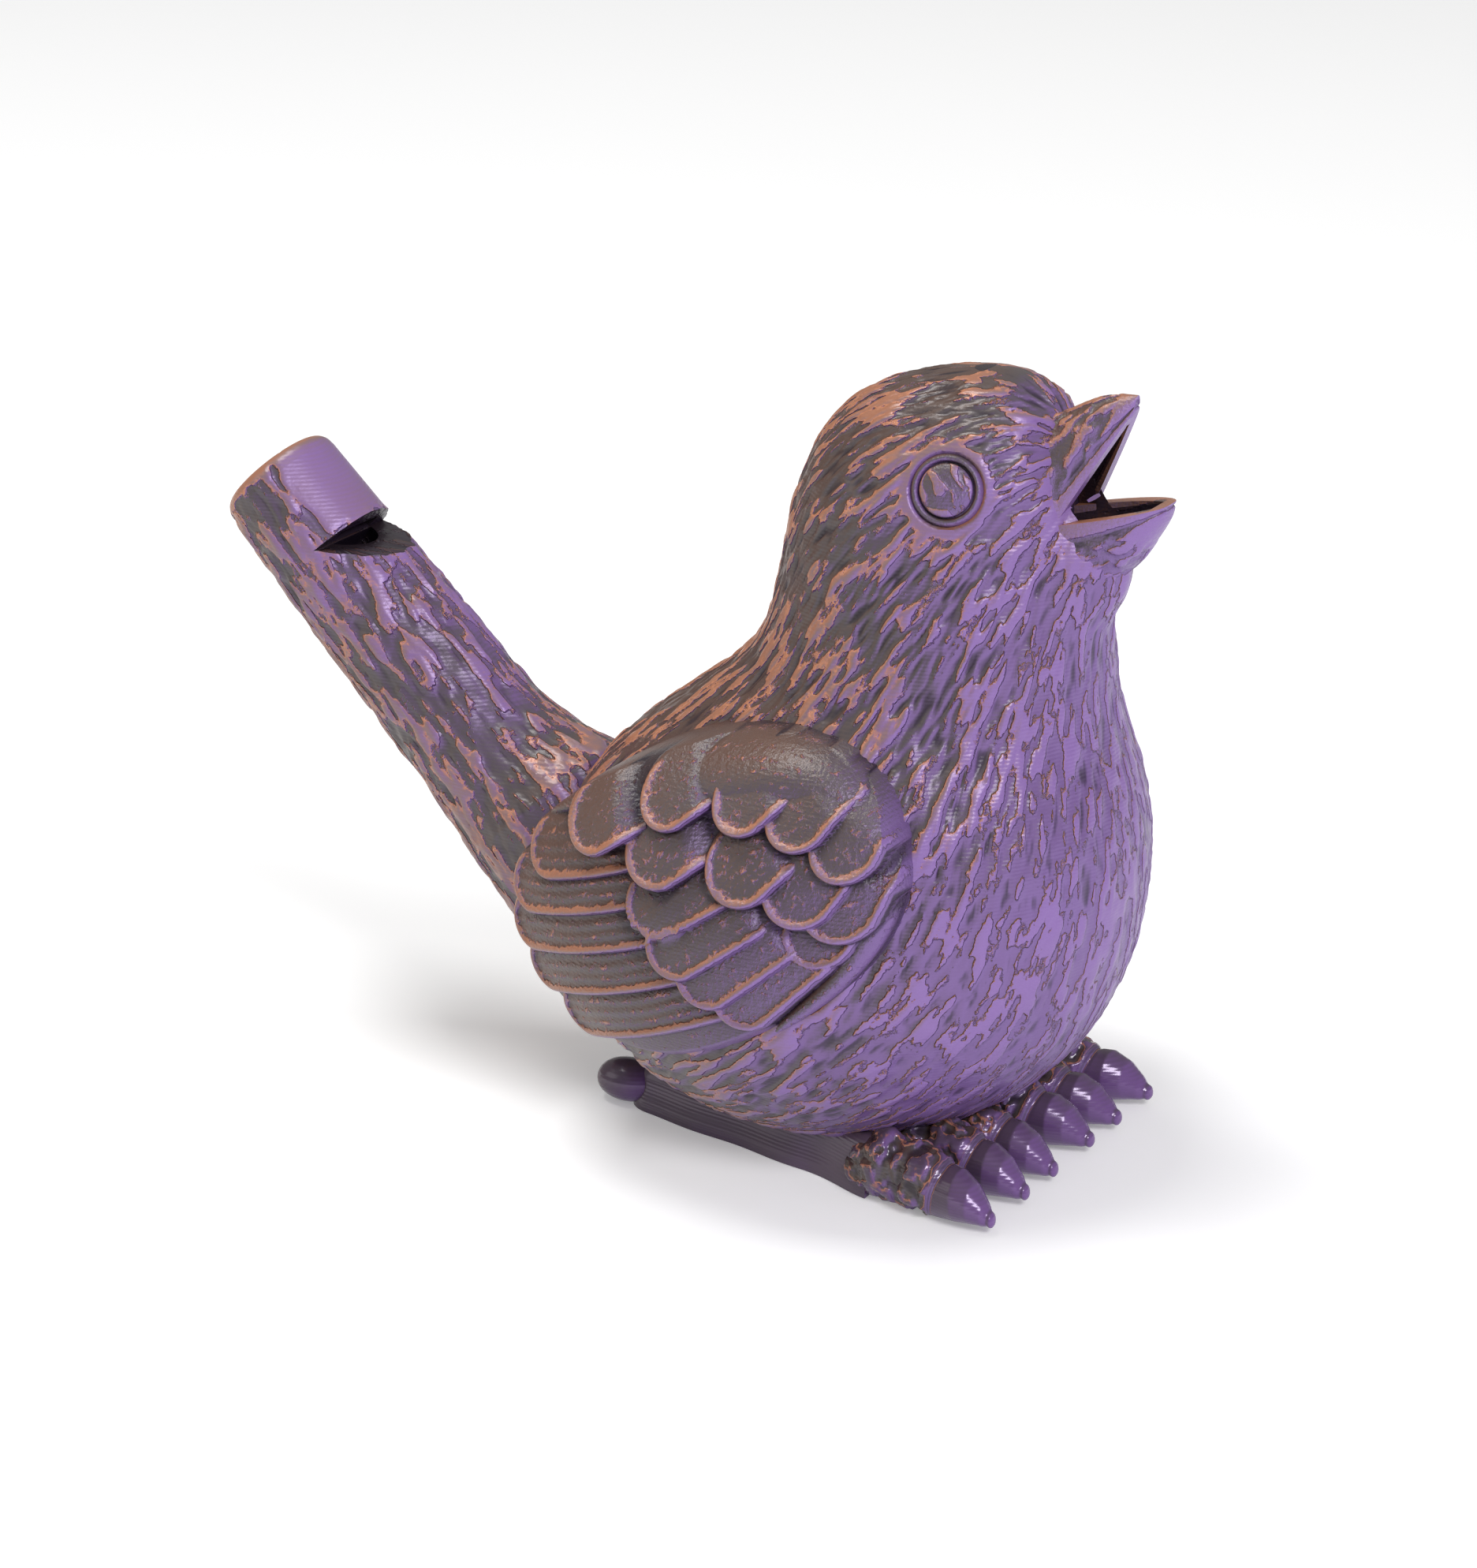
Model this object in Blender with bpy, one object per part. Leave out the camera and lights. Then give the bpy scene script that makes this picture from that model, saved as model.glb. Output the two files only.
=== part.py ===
"""Bird whistle: a plump songbird, printed in one piece and blown through its raised tail.

The bird stands on its feet at the origin and looks along +X, with its left side at +Y and its crown
towards +Z. Air enters the slot in the tail's end, meets the sharp lip in the window, goes down the bore
into the hollow body and leaves by the throat and the open beak. The same way lets water in, which makes
the note warble.
"""

import math

import bmesh
import bpy
import numpy as np
from mathutils import Vector

MM = 0.001

# Body, made of blended eggs
BODY_LENGTH = 49.0 * MM
BODY_WIDTH = 45.2 * MM
BODY_HEIGHT = 38.8 * MM
BREAST_LENGTH = 39.0 * MM
BREAST_WIDTH = 39.0 * MM
BREAST_HEIGHT = 35.2 * MM
NECK_LENGTH = 27.8 * MM
NECK_WIDTH = 25.8 * MM
NECK_HEIGHT = 38.6 * MM
HEAD_LENGTH = 20.6 * MM
HEAD_WIDTH = 20.4 * MM
HEAD_HEIGHT = 22.4 * MM
BROW_LENGTH = 12.4 * MM
BROW_WIDTH = 14.8 * MM
BROW_HEIGHT = 14.0 * MM
FLESH_BLEND = 1.85 * MM

# Where each egg's middle lies from the one below it
BODY_SETBACK = -1.75 * MM
BELLY_LIFT = 0.6 * MM
BREAST_FORWARD = 6.25 * MM
BREAST_RISE = 7.9 * MM
NECK_FORWARD = 3.0 * MM
NECK_RISE = 14.25 * MM
HEAD_FORWARD = -1.1 * MM
HEAD_RISE = 12.25 * MM
BROW_FORWARD = 6.1 * MM
BROW_RISE = 5.1 * MM

# Plumage flutes on the body
FLUTE_DEPTH = 0.2 * MM

# Raised tail, which is the mouthpiece
TAIL_ANGLE = math.radians(44.8)
TAIL_REACH = 60.2 * MM
TAIL_DROP = 19.5 * MM
TAIL_LENGTH = 51.5 * MM
MOUTH_DIAMETER = 10.8 * MM
TAIL_ROOT_DIAMETER = 13.4 * MM
TAIL_TAPER_LENGTH = 44.0 * MM
RIM_ROUND = 1.3 * MM
TAIL_SWELL = 1.5 * MM
SWELL_START = 27.0 * MM
SWELL_END = 38.0 * MM

# Airway
WINDOW_SETBACK = 8.9 * MM
WINDOW_FLOOR = 2.1 * MM
RAMP_ANGLE = math.radians(31.0)
WINDWAY_WIDTH = 5.6 * MM
WINDWAY_HEIGHT = 1.5 * MM
WINDWAY_RISE = 3.0 * MM
BORE_DIAMETER = 7.4 * MM
BLOCK_LIP = 0.2 * MM
WALL = 3.0 * MM
CHAMBER_FLOOR = 4.2 * MM
CHAMBER_TOP = 42.0 * MM
THROAT_DIAMETER = 7.6 * MM
GULLET_DIAMETER = 5.6 * MM

# Open beak
GAPE_RISE = 1.8 * MM
GAPE_HALF_WIDTH = 4.1 * MM
UPPER_BEAK_LENGTH = 10.3 * MM
UPPER_BEAK_ANGLE = math.radians(61.5)
CULMEN_RISE = 8.4 * MM
UPPER_TIP_HEIGHT = 1.2 * MM
LOWER_BEAK_LENGTH = 8.3 * MM
LOWER_BEAK_ANGLE = math.radians(13.5)
KEEL_DROP = 7.0 * MM
LOWER_TIP_HEIGHT = 1.3 * MM
BEAK_WALL = 1.1 * MM
LOWER_BEAK_WALL = 1.25 * MM

# Eyes
EYE_DIAMETER = 5.9 * MM
EYE_GROOVE = 0.6 * MM
EYE_FORWARD = 5.6 * MM
EYE_RISE = 5.0 * MM
EYE_BULGE = 0.5 * MM
EYE_SOCKET_DEPTH = 1.2 * MM

# Wings
WING_LENGTH = 39.0 * MM
WING_HEIGHT = 24.0 * MM
WING_TILT = math.radians(28.0)
WING_SETBACK = -2.75 * MM
WING_RISE = 5.5 * MM
WING_SPAN = 45.0 * MM
WING_SHELL_LENGTH = 28.0 * MM
WING_SHELL_HEIGHT = 21.0 * MM
WING_SHELL_DROP = 2.5 * MM
FEATHER_STEP = 0.6 * MM
FEATHER_ROOT = 8.5 * MM
FEATHER_STAGGER = 0.04 * MM
QUILL_DROOP = 0.4 * MM
SCALE_WIDTH = 6.6 * MM
QUILL_WIDTH = 5.4 * MM
QUILL_COUNT = 6
ROLL_WIDTH = 3.2 * MM
ROLL_LIFT = 1.7 * MM
ROLL_FIRST = math.radians(-80.0)
ROLL_LAST = math.radians(118.0)
SHOULDER_WIDTH = 8.0 * MM
SHOULDER_LIFT = 3.7 * MM
SHOULDER_TURN = math.radians(56.0)
SHOULDER_SPREAD = math.radians(48.0)

# Feet
FOOT_LENGTH = 30.0 * MM
FOOT_REAR = -18.4 * MM
FOOT_HEIGHT = 3.6 * MM
FOOT_WIDTH = 6.4 * MM
FOOT_SPREAD = math.radians(9.8)
HEEL_OFFSET = 7.6 * MM
HEEL_LENGTH = 5.6 * MM
HEEL_WIDTH = 4.4 * MM
HEEL_HEIGHT = 3.7 * MM
TOE_LENGTH = 12.0 * MM
TOE_DIAMETER = 4.9 * MM
TOE_REACH = 20.5 * MM
INNER_TOE = 3.4 * MM
MIDDLE_TOE = 8.6 * MM
OUTER_TOE = 14.7 * MM
TOE_FAN = 0.82
SOLE_LENGTH = 26.0 * MM
SOLE_WIDTH = 15.0 * MM

# How finely the curved skins are divided
BODY_SEGMENTS = 52
BODY_RINGS = 28
TAIL_SEGMENTS = 22
BORE_SEGMENTS = 16
CHAMBER_SEGMENTS = 24
CHAMBER_RINGS = 12
PAD_SEGMENTS = 28
TOE_SEGMENTS = 9
WELD = 0.01 * MM

PLUM = (0.36, 0.22, 0.47, 1.0)


def clear_scene():
    """Remove whatever the file opened with."""
    for item in list(bpy.data.objects):
        bpy.data.objects.remove(item, do_unlink=True)


def eggs():
    """Return the middle and the half sizes of each egg that makes up the body."""
    rump = Vector((BODY_SETBACK, 0, BODY_HEIGHT / 2 + BELLY_LIFT))
    breast = rump + Vector((BREAST_FORWARD, 0, BREAST_RISE))
    neck = breast + Vector((NECK_FORWARD, 0, NECK_RISE))
    head = neck + Vector((HEAD_FORWARD, 0, HEAD_RISE))
    brow = head + Vector((BROW_FORWARD, 0, BROW_RISE))
    return (
        (rump, (BODY_LENGTH / 2, BODY_WIDTH / 2, BODY_HEIGHT / 2)),
        (breast, (BREAST_LENGTH / 2, BREAST_WIDTH / 2, BREAST_HEIGHT / 2)),
        (neck, (NECK_LENGTH / 2, NECK_WIDTH / 2, NECK_HEIGHT / 2)),
        (head, (HEAD_LENGTH / 2, HEAD_WIDTH / 2, HEAD_HEIGHT / 2)),
        (brow, (BROW_LENGTH / 2, BROW_WIDTH / 2, BROW_HEIGHT / 2)),
    )


EGGS = eggs()
RUMP, BREAST, NECK, HEAD, BROW = (middle for middle, halves in EGGS)


def depth_outside(points):
    """Return how far each point lies outside the blended eggs; inside is negative."""
    gaps = []
    for middle, halves in EGGS:
        scaled = (points - np.array(middle)) / np.array(halves)
        near = np.sqrt((scaled ** 2).sum(axis=-1)) + 1e-9
        steep = np.sqrt(((scaled / np.array(halves)) ** 2).sum(axis=-1)) + 1e-9
        gaps.append(near * (near - 1) / steep)
    gaps = np.array(gaps)
    nearest = gaps.min(axis=0)
    return nearest - FLESH_BLEND * np.log(np.exp((nearest - gaps) / FLESH_BLEND).sum(axis=0))


def reach(starts, directions, level=0.0):
    """Return how far each ray from inside the body runs to the skin, or to a shell inside it."""
    low = np.zeros(starts.shape[:-1])
    high = np.full(starts.shape[:-1], BODY_LENGTH)
    for _ in range(36):
        middle = (low + high) / 2
        inside = depth_outside(starts + directions * middle[..., None]) < level
        low = np.where(inside, middle, low)
        high = np.where(inside, high, middle)
    return low


def spine_x(heights):
    """Return the X of a line that stays inside the body from belly to crown."""
    levels = (RUMP.z, BREAST.z, NECK.z, HEAD.z, BROW.z)
    places = (RUMP.x, BREAST.x, NECK.x, HEAD.x, BROW.x - BROW_FORWARD / 3)
    return np.interp(heights, levels, places)


def pole(upward, level=0.0):
    """Return the highest or the lowest point of the skin on the mid plane."""
    start = HEAD if upward else RUMP
    xs = start.x + np.linspace(-0.4, 0.4, 81) * HEAD_LENGTH
    starts = np.stack([xs, np.zeros_like(xs), np.full_like(xs, start.z)], axis=-1)
    run = reach(starts, np.array((0.0, 0.0, 1.0 if upward else -1.0)), level)
    best = int(np.argmax(run))
    return np.array((xs[best], 0.0, start.z + (run[best] if upward else -run[best])))


def skin_rings(low, high, rings, segments, level=0.0, flutes=0.0):
    """Return level rings of the skin between two points, closer together near each end."""
    turn = np.linspace(0, 2 * np.pi, segments, endpoint=False)
    outward = np.stack([np.cos(turn), np.sin(turn), np.zeros_like(turn)], axis=-1)
    result = []
    for share in (1 - np.cos(np.linspace(0, np.pi, rings + 2)[1:-1])) / 2:
        height = low[2] + share * (high[2] - low[2])
        ends = np.clip((share / 0.12, (1 - share) / 0.12), 0, 1)
        start_x = float(spine_x(height))
        start_x = ends[0] * start_x + (1 - ends[0]) * low[0]
        start_x = ends[1] * start_x + (1 - ends[1]) * high[0]
        start = np.array((start_x, 0.0, height))
        run = reach(np.tile(start, (2, 1)), np.array(((1.0, 0, 0), (-1.0, 0, 0))), level)
        start[0] += (run[0] - run[1]) / 2
        starts = np.tile(start, (segments, 1))
        run = reach(starts, outward, level)
        fade = min(1.0, 5 * share, 5 * (1 - share))
        run = run + flutes * fade * np.cos(turn * segments / 2)
        result.append(starts + outward * run[:, None])
    return result


def new_object(name, mesh_data):
    """Put a bmesh into the scene as an object of its own."""
    mesh = bpy.data.meshes.new(name)
    bmesh.ops.recalc_face_normals(mesh_data, faces=mesh_data.faces[:])
    mesh_data.to_mesh(mesh)
    mesh_data.free()
    item = bpy.data.objects.new(name, mesh)
    bpy.context.scene.collection.objects.link(item)
    return item


def loft(name, rings, first=None, last=None):
    """Skin a row of closed rings; each end closes to a point if one is given, or else flat."""
    build = bmesh.new()
    loops = [[build.verts.new(point) for point in ring] for ring in rings]
    for lower, upper in zip(loops, loops[1:]):
        for index, corner in enumerate(lower):
            after = (index + 1) % len(lower)
            build.faces.new((corner, lower[after], upper[after], upper[index]))
    for loop, tip in ((loops[0], first), (loops[-1], last)):
        if tip is None:
            build.faces.new(loop)
            continue
        apex = build.verts.new(tip)
        for index, corner in enumerate(loop):
            build.faces.new((corner, loop[(index + 1) % len(loop)], apex))
    return new_object(name, build)


def enclosed(mesh):
    """Return the volume inside a mesh, or nothing if its skin is open."""
    skin = bmesh.new()
    skin.from_mesh(mesh)
    closed = all(len(edge.link_faces) == 2 for edge in skin.edges)
    volume = skin.calc_volume(signed=True) if closed else None
    skin.free()
    return volume


def solved(target, tool, operation, solver):
    """Return the mesh of one join or cut."""
    step = target.modifiers.new(operation.title(), "BOOLEAN")
    step.operation = operation
    step.solver = solver
    step.object = tool
    bpy.context.view_layer.update()
    shaped = target.evaluated_get(bpy.context.evaluated_depsgraph_get())
    mesh = bpy.data.meshes.new_from_object(shaped)
    target.modifiers.remove(step)
    return mesh


def combine(target, tool, operation):
    """Join a piece to the target, or cut it out of it, and drop the piece."""
    before = enclosed(target.data)
    most = abs(enclosed(tool.data))
    # The exact solver now and then leaves a seam open, or drops the target, where two pieces graze
    for solver in ("EXACT", "MANIFOLD"):
        mesh = solved(target, tool, operation, solver)
        volume = enclosed(mesh)
        if volume is None:
            continue
        change = volume - before if operation == "UNION" else before - volume
        if -most * 0.01 < change < most:
            break
    old = target.data
    target.data = mesh
    bpy.data.meshes.remove(old)
    bpy.data.objects.remove(tool, do_unlink=True)


def circle(middle, radius, side, up, segments):
    """Return the points of a circle that lies along two given directions."""
    turn = np.linspace(0, 2 * np.pi, segments, endpoint=False)
    side, up = np.array(side), np.array(up)
    return np.array(middle) + radius * (np.cos(turn)[:, None] * side + np.sin(turn)[:, None] * up)


def make_body():
    """Build the head and body as one fluted skin from belly to crown."""
    low, high = pole(False), pole(True)
    rings = skin_rings(low, high, BODY_RINGS, BODY_SEGMENTS, flutes=FLUTE_DEPTH)
    return loft("bird_whistle", rings, low, high)


TAIL_DOWN = Vector((math.cos(TAIL_ANGLE), 0, -math.sin(TAIL_ANGLE)))
TAIL_UP_SIDE = Vector((math.sin(TAIL_ANGLE), 0, math.cos(TAIL_ANGLE)))
TAIL_FOOT = RUMP - TAIL_UP_SIDE * TAIL_DROP
TAIL_TIP = TAIL_FOOT - TAIL_DOWN * TAIL_REACH
ACROSS = Vector((0, 1, 0))


def tail_point(along, above=0.0):
    """Return a point so far down the tail from its tip and so far above its axis."""
    return TAIL_TIP + TAIL_DOWN * along + TAIL_UP_SIDE * above


def tail_radius(along):
    """Return the tail's radius, which widens from mouthpiece to root."""
    share = min(1.0, max(0.0, along / TAIL_TAPER_LENGTH))
    return (MOUTH_DIAMETER + (TAIL_ROOT_DIAMETER - MOUTH_DIAMETER) * share) / 2


def tail_swell(along):
    """Return how far the tail's upper side rises where it runs into the back."""
    share = min(1.0, max(0.0, (along - SWELL_START) / (SWELL_END - SWELL_START)))
    return TAIL_SWELL * share ** 2


def make_tail():
    """Build the tail as a tapering tube blank with a rounded end."""
    rings = []
    for turn in (10, 35, 60, 90):
        slope = math.radians(turn)
        along = RIM_ROUND * (1 - math.cos(slope))
        radius = tail_radius(0) - RIM_ROUND * (1 - math.sin(slope))
        rings.append(circle(tail_point(along), radius, ACROSS, TAIL_UP_SIDE, TAIL_SEGMENTS))
    for along in (RIM_ROUND * 4, SWELL_START, *np.linspace(SWELL_START + 2 * MM, SWELL_END, 5), TAIL_LENGTH):
        swell = tail_swell(along)
        middle = tail_point(along, swell)
        rings.append(circle(middle, tail_radius(along) + swell, ACROSS, TAIL_UP_SIDE, TAIL_SEGMENTS))
    for beyond, share, above in ((2 * MM, 0.92, 1.8 * MM), (3.6 * MM, 0.72, 2.4 * MM), (4.6 * MM, 0.45, 2.8 * MM)):
        middle = tail_point(TAIL_LENGTH + beyond, above)
        rings.append(circle(middle, tail_radius(TAIL_LENGTH) * share, ACROSS, TAIL_UP_SIDE, TAIL_SEGMENTS))
    return loft("tail", rings)


def make_window():
    """Build the cutter of the window: a square face towards the mouthpiece and a sloping ramp."""
    run = (tail_radius(WINDOW_SETBACK) * 1.4 - WINDOW_FLOOR) / math.tan(RAMP_ANGLE)
    top = tail_radius(WINDOW_SETBACK) * 1.4
    profile = (
        tail_point(WINDOW_SETBACK, WINDOW_FLOOR),
        tail_point(WINDOW_SETBACK, top),
        tail_point(WINDOW_SETBACK + run, top),
    )
    half = ACROSS * MOUTH_DIAMETER
    return loft("window", [[point - half for point in profile], [point + half for point in profile]])


def make_windway():
    """Build the cutter of the flat slot that aims the breath at the window's lip."""
    rings = []
    for along in (-RIM_ROUND, WINDOW_SETBACK + BLOCK_LIP / 2):
        ring = []
        for side, rise in ((-1, -1), (1, -1), (1, 1), (-1, 1)):
            middle = tail_point(along, WINDWAY_RISE + rise * WINDWAY_HEIGHT / 2)
            ring.append(middle + ACROSS * side * WINDWAY_WIDTH / 2)
        rings.append(ring)
    return loft("windway", rings)


def make_bore():
    """Build the cutter of the bore, which runs from the window's face to the body's hollow."""
    rings = []
    for along in (WINDOW_SETBACK + BLOCK_LIP, TAIL_REACH * 0.9):
        rings.append(circle(tail_point(along), BORE_DIAMETER / 2, ACROSS, TAIL_UP_SIDE, BORE_SEGMENTS))
    return loft("bore", rings)


def make_chamber():
    """Build the cutter of the hollow body, one wall inside the skin."""
    low = pole(False, -WALL)
    low[2] = max(low[2], CHAMBER_FLOOR)
    high = np.array((float(spine_x(CHAMBER_TOP)), 0.0, CHAMBER_TOP))
    rings = skin_rings(low, high, CHAMBER_RINGS, CHAMBER_SEGMENTS, level=-WALL)
    return loft("chamber", rings, low, high)


def beak_base():
    """Return the corner of the gape, on the skin of the face."""
    height = HEAD.z + GAPE_RISE
    start = np.array(((HEAD.x, 0.0, height),))
    run = reach(start, np.array((1.0, 0.0, 0.0)))
    return Vector((HEAD.x + float(run[0]) - 0.4 * MM, 0, height))


GAPE = beak_base()


def arch(rim, ridge, half_width, points, lip=None):
    """Return a section of the beak: an arch over the ridge, closed along the rim."""
    turn = np.linspace(0, np.pi, points)
    rim, ridge = np.array(rim), np.array(ridge)
    ring = rim + np.sin(turn)[:, None] ** 0.85 * (ridge - rim)
    ring[:, 1] = -half_width * np.cos(turn)
    if lip is not None:
        ends = np.array((ring[-1], ring[0])) + np.array(lip)
        ring = np.concatenate((ring, ends))
    return ring


def upper_section(share):
    """Return the rim, the ridge and the half width of the upper beak at a share of its length."""
    along = Vector((math.cos(UPPER_BEAK_ANGLE), 0, math.sin(UPPER_BEAK_ANGLE)))
    rim = GAPE + along * UPPER_BEAK_LENGTH * share
    root = GAPE + Vector((-0.6 * MM, 0, CULMEN_RISE))
    tip = GAPE + along * UPPER_BEAK_LENGTH + Vector((0.1 * MM, 0, UPPER_TIP_HEIGHT))
    ridge = root.lerp(tip, share) + Vector((0, 0, 0.5 * MM)) * math.sin(math.pi * max(0.0, share))
    half_width = 0.45 * MM + (GAPE_HALF_WIDTH - 0.45 * MM) * max(0.0, 1 - share) ** 0.8
    return rim, ridge, half_width


def lower_section(share):
    """Return the rim, the keel and the half width of the lower beak at a share of its length."""
    along = Vector((math.cos(LOWER_BEAK_ANGLE), 0, math.sin(LOWER_BEAK_ANGLE)))
    rim = GAPE + along * LOWER_BEAK_LENGTH * share
    root = GAPE + Vector((1.2 * MM, 0, -KEEL_DROP))
    tip = GAPE + along * LOWER_BEAK_LENGTH - Vector((0.1 * MM, 0, LOWER_TIP_HEIGHT))
    keel = root.lerp(tip, share) + Vector((0.5 * MM, 0, -0.5 * MM)) * math.sin(math.pi * max(0.0, share))
    half_width = 0.6 * MM + (GAPE_HALF_WIDTH - 0.6 * MM) * math.sqrt(max(0.0, 1 - max(share, 0.0) ** 2))
    return rim, keel, half_width


def make_mandible(name, section):
    """Build half of the beak, from inside the face to its blunt tip."""
    rings = [arch(*section(share), 11) for share in (-0.35, 0.0, 0.2, 0.4, 0.6, 0.78, 0.92, 1.0)]
    return loft(name, rings)


def make_mouth(name, section, depth, wall):
    """Build the cutter that hollows half of the beak to a thin wall."""
    rings = []
    for share in (-0.3, 0.0, 0.25, 0.5, 0.7, 0.84):
        rim, ridge, half_width = section(share)
        deep = rim.lerp(ridge, depth)
        lip = (rim - ridge).normalized() * wall * 0.6
        width = max(half_width - wall, 0.25 * MM)
        rings.append(arch(rim, deep, width, 9, lip))
    return loft(name, rings)


def make_throat():
    """Build the cutter of the throat, which bends from the chamber up to the gape."""
    stops = (
        (Vector((float(spine_x(CHAMBER_TOP)), 0, CHAMBER_TOP - 6 * MM)), THROAT_DIAMETER),
        (Vector((NECK.x, 0, NECK.z)), THROAT_DIAMETER),
        (Vector((HEAD.x + BROW_FORWARD, 0, HEAD.z - 2.4 * MM)), THROAT_DIAMETER),
        (GAPE + Vector((0.6 * MM, 0, 2.4 * MM)), GULLET_DIAMETER),
    )
    rings = []
    for index, (middle, diameter) in enumerate(stops):
        before = stops[max(index - 1, 0)][0]
        after = stops[min(index + 1, len(stops) - 1)][0]
        run = (after - before).normalized()
        rings.append(circle(middle, diameter / 2, ACROSS, run.cross(ACROSS), BORE_SEGMENTS))
    return loft("throat", rings)


def skin_frame(x, z):
    """Return a point of the right flank's skin and the direction that leaves it."""
    start = np.array(((x, 0.0, z),))
    run = float(reach(start, np.array((0.0, -1.0, 0.0)))[0])
    point = np.array((x, -run, z))
    nudge = 0.05 * MM
    steps = np.eye(3) * nudge
    slope = [float(depth_outside(point + step) - depth_outside(point - step)) for step in steps]
    return Vector(point), Vector(slope).normalized()


def make_eye_parts():
    """Build the cutter of the eye's socket and the domed eye that stands in it."""
    middle, out = skin_frame(HEAD.x + EYE_FORWARD, HEAD.z + EYE_RISE)
    side = out.cross(Vector((0, 0, 1))).normalized()
    up = side.cross(out)
    radius = EYE_DIAMETER / 2
    floor = middle - out * EYE_SOCKET_DEPTH
    socket = [
        circle(floor, radius + EYE_GROOVE * 0.7, side, up, 20),
        circle(middle + out * 2 * MM, radius + EYE_GROOVE * 1.3, side, up, 20),
    ]
    dome = [circle(floor - out * 0.8 * MM, radius, side, up, 20)]
    crown = EYE_BULGE + 0.55 * MM
    for turn in (0, 30, 55, 75):
        slope = math.radians(turn)
        lift = EYE_BULGE - crown * (1 - math.sin(slope))
        dome.append(circle(middle + out * lift, radius * math.cos(slope), side, up, 20))
    return loft("socket", socket), loft("eye", dome, last=middle + out * EYE_BULGE)


WING_MIDDLE = RUMP + Vector((WING_SETBACK, 0, WING_RISE))
WING_UNIT = WING_LENGTH / 39.0


def wing_surface(places, height):
    """Lift places of the wing's plane, measured from its middle, to the wing's curved face."""
    places = np.atleast_2d(places)
    heights = np.broadcast_to(np.asarray(height, dtype=float), places.shape[:1])
    xs = WING_MIDDLE.x + places[:, 0]
    zs = WING_MIDDLE.z + places[:, 1]
    starts = np.stack([xs, np.zeros_like(xs), zs], axis=-1)
    flank = reach(starts, np.array((0.0, -1.0, 0.0)))
    shares = (places[:, 0] / WING_SHELL_LENGTH) ** 2 + ((places[:, 1] + WING_SHELL_DROP) / WING_SHELL_HEIGHT) ** 2
    shell = WING_SPAN / 2 * np.sqrt(np.clip(1 - shares, 0.02, 1))
    soft = 1.0 * MM
    over = np.maximum(flank, shell)
    face = over + soft * np.log(np.exp((flank - over) / soft) + np.exp((shell - over) / soft))
    return np.stack([xs, -(face + heights), zs], axis=-1)


def wing_outline(turn):
    """Return points round the wing's edge, on the wing's plane."""
    squareness = 2 / 2.3
    a = np.sign(np.cos(turn)) * np.abs(np.cos(turn)) ** squareness * WING_LENGTH / 2
    b = np.sign(np.sin(turn)) * np.abs(np.sin(turn)) ** squareness * WING_HEIGHT / 2
    xs = a * math.cos(WING_TILT) - b * math.sin(WING_TILT)
    zs = a * math.sin(WING_TILT) + b * math.cos(WING_TILT)
    return np.stack([xs, zs], axis=-1)


def make_wing_pad():
    """Build the rounded pad that carries the wing's feathers."""
    outline = wing_outline(np.linspace(0, 2 * np.pi, PAD_SEGMENTS, endpoint=False))
    rings = [wing_surface(outline * 1.02, -3 * FEATHER_STEP)]
    for slope in (0, 35, 65):
        inset = 1 - 0.09 * (1 - math.cos(math.radians(slope)))
        lift = FEATHER_STEP * 2.2 * math.sin(math.radians(slope)) - FEATHER_STEP
        rings.append(wing_surface(outline * inset, lift))
    for share in (0.82, 0.5):
        rings.append(wing_surface(outline * share, FEATHER_STEP * 1.2))
    root = FEATHER_ROOT - 2 * FEATHER_STAGGER
    rings.insert(0, rings[0] * np.array((1, 0, 1)) - np.array((0, root, 0)))
    return loft("wing", rings, last=wing_surface((0, 0), FEATHER_STEP * 1.2)[0])


def bend(start, middle, end, share):
    """Return a point of the curve that leaves start towards middle and comes in to end."""
    start, middle, end = np.array(start), np.array(middle), np.array(end)
    return (1 - share) ** 2 * start + 2 * share * (1 - share) * middle + share ** 2 * end


def feather(name, start, middle, end, width, layer, root, droop=0.0, stations=3):
    """Build one feather with a curved face and a rounded tip, from its root in the body to its layer."""
    length = float(np.linalg.norm(np.subtract(end, start)))
    shoulder = 1 - width / 2 / length
    shares = list(np.linspace(0, shoulder, stations))
    spreads = [0.8 + 0.2 * share / shoulder for share in shares]
    for turn in (28, 50, 68, 82):
        shares.append(shoulder + (1 - shoulder) * math.sin(math.radians(turn)))
        spreads.append(math.cos(math.radians(turn)))
    across = np.array((-1.0, -0.4, 0.4, 1.0))
    rings = []
    for share, spread in zip(shares, spreads):
        middle_point = bend(start, middle, end, share)
        ahead = bend(start, middle, end, share + 0.01) - middle_point
        normal = np.array((-ahead[1], ahead[0])) / np.linalg.norm(ahead)
        places = middle_point + across[:, None] * normal * width / 2 * spread
        camber = 0.25 * MM * (1 - (across * spread) ** 2)
        lift = layer * FEATHER_STEP + camber + droop * across * spread
        tops = wing_surface(places, lift)
        unders = tops[::-1] * np.array((1, 0, 1)) - np.array((0, root, 0))
        rings.append(np.concatenate((tops, unders)))
    return loft(name, rings)


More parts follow.
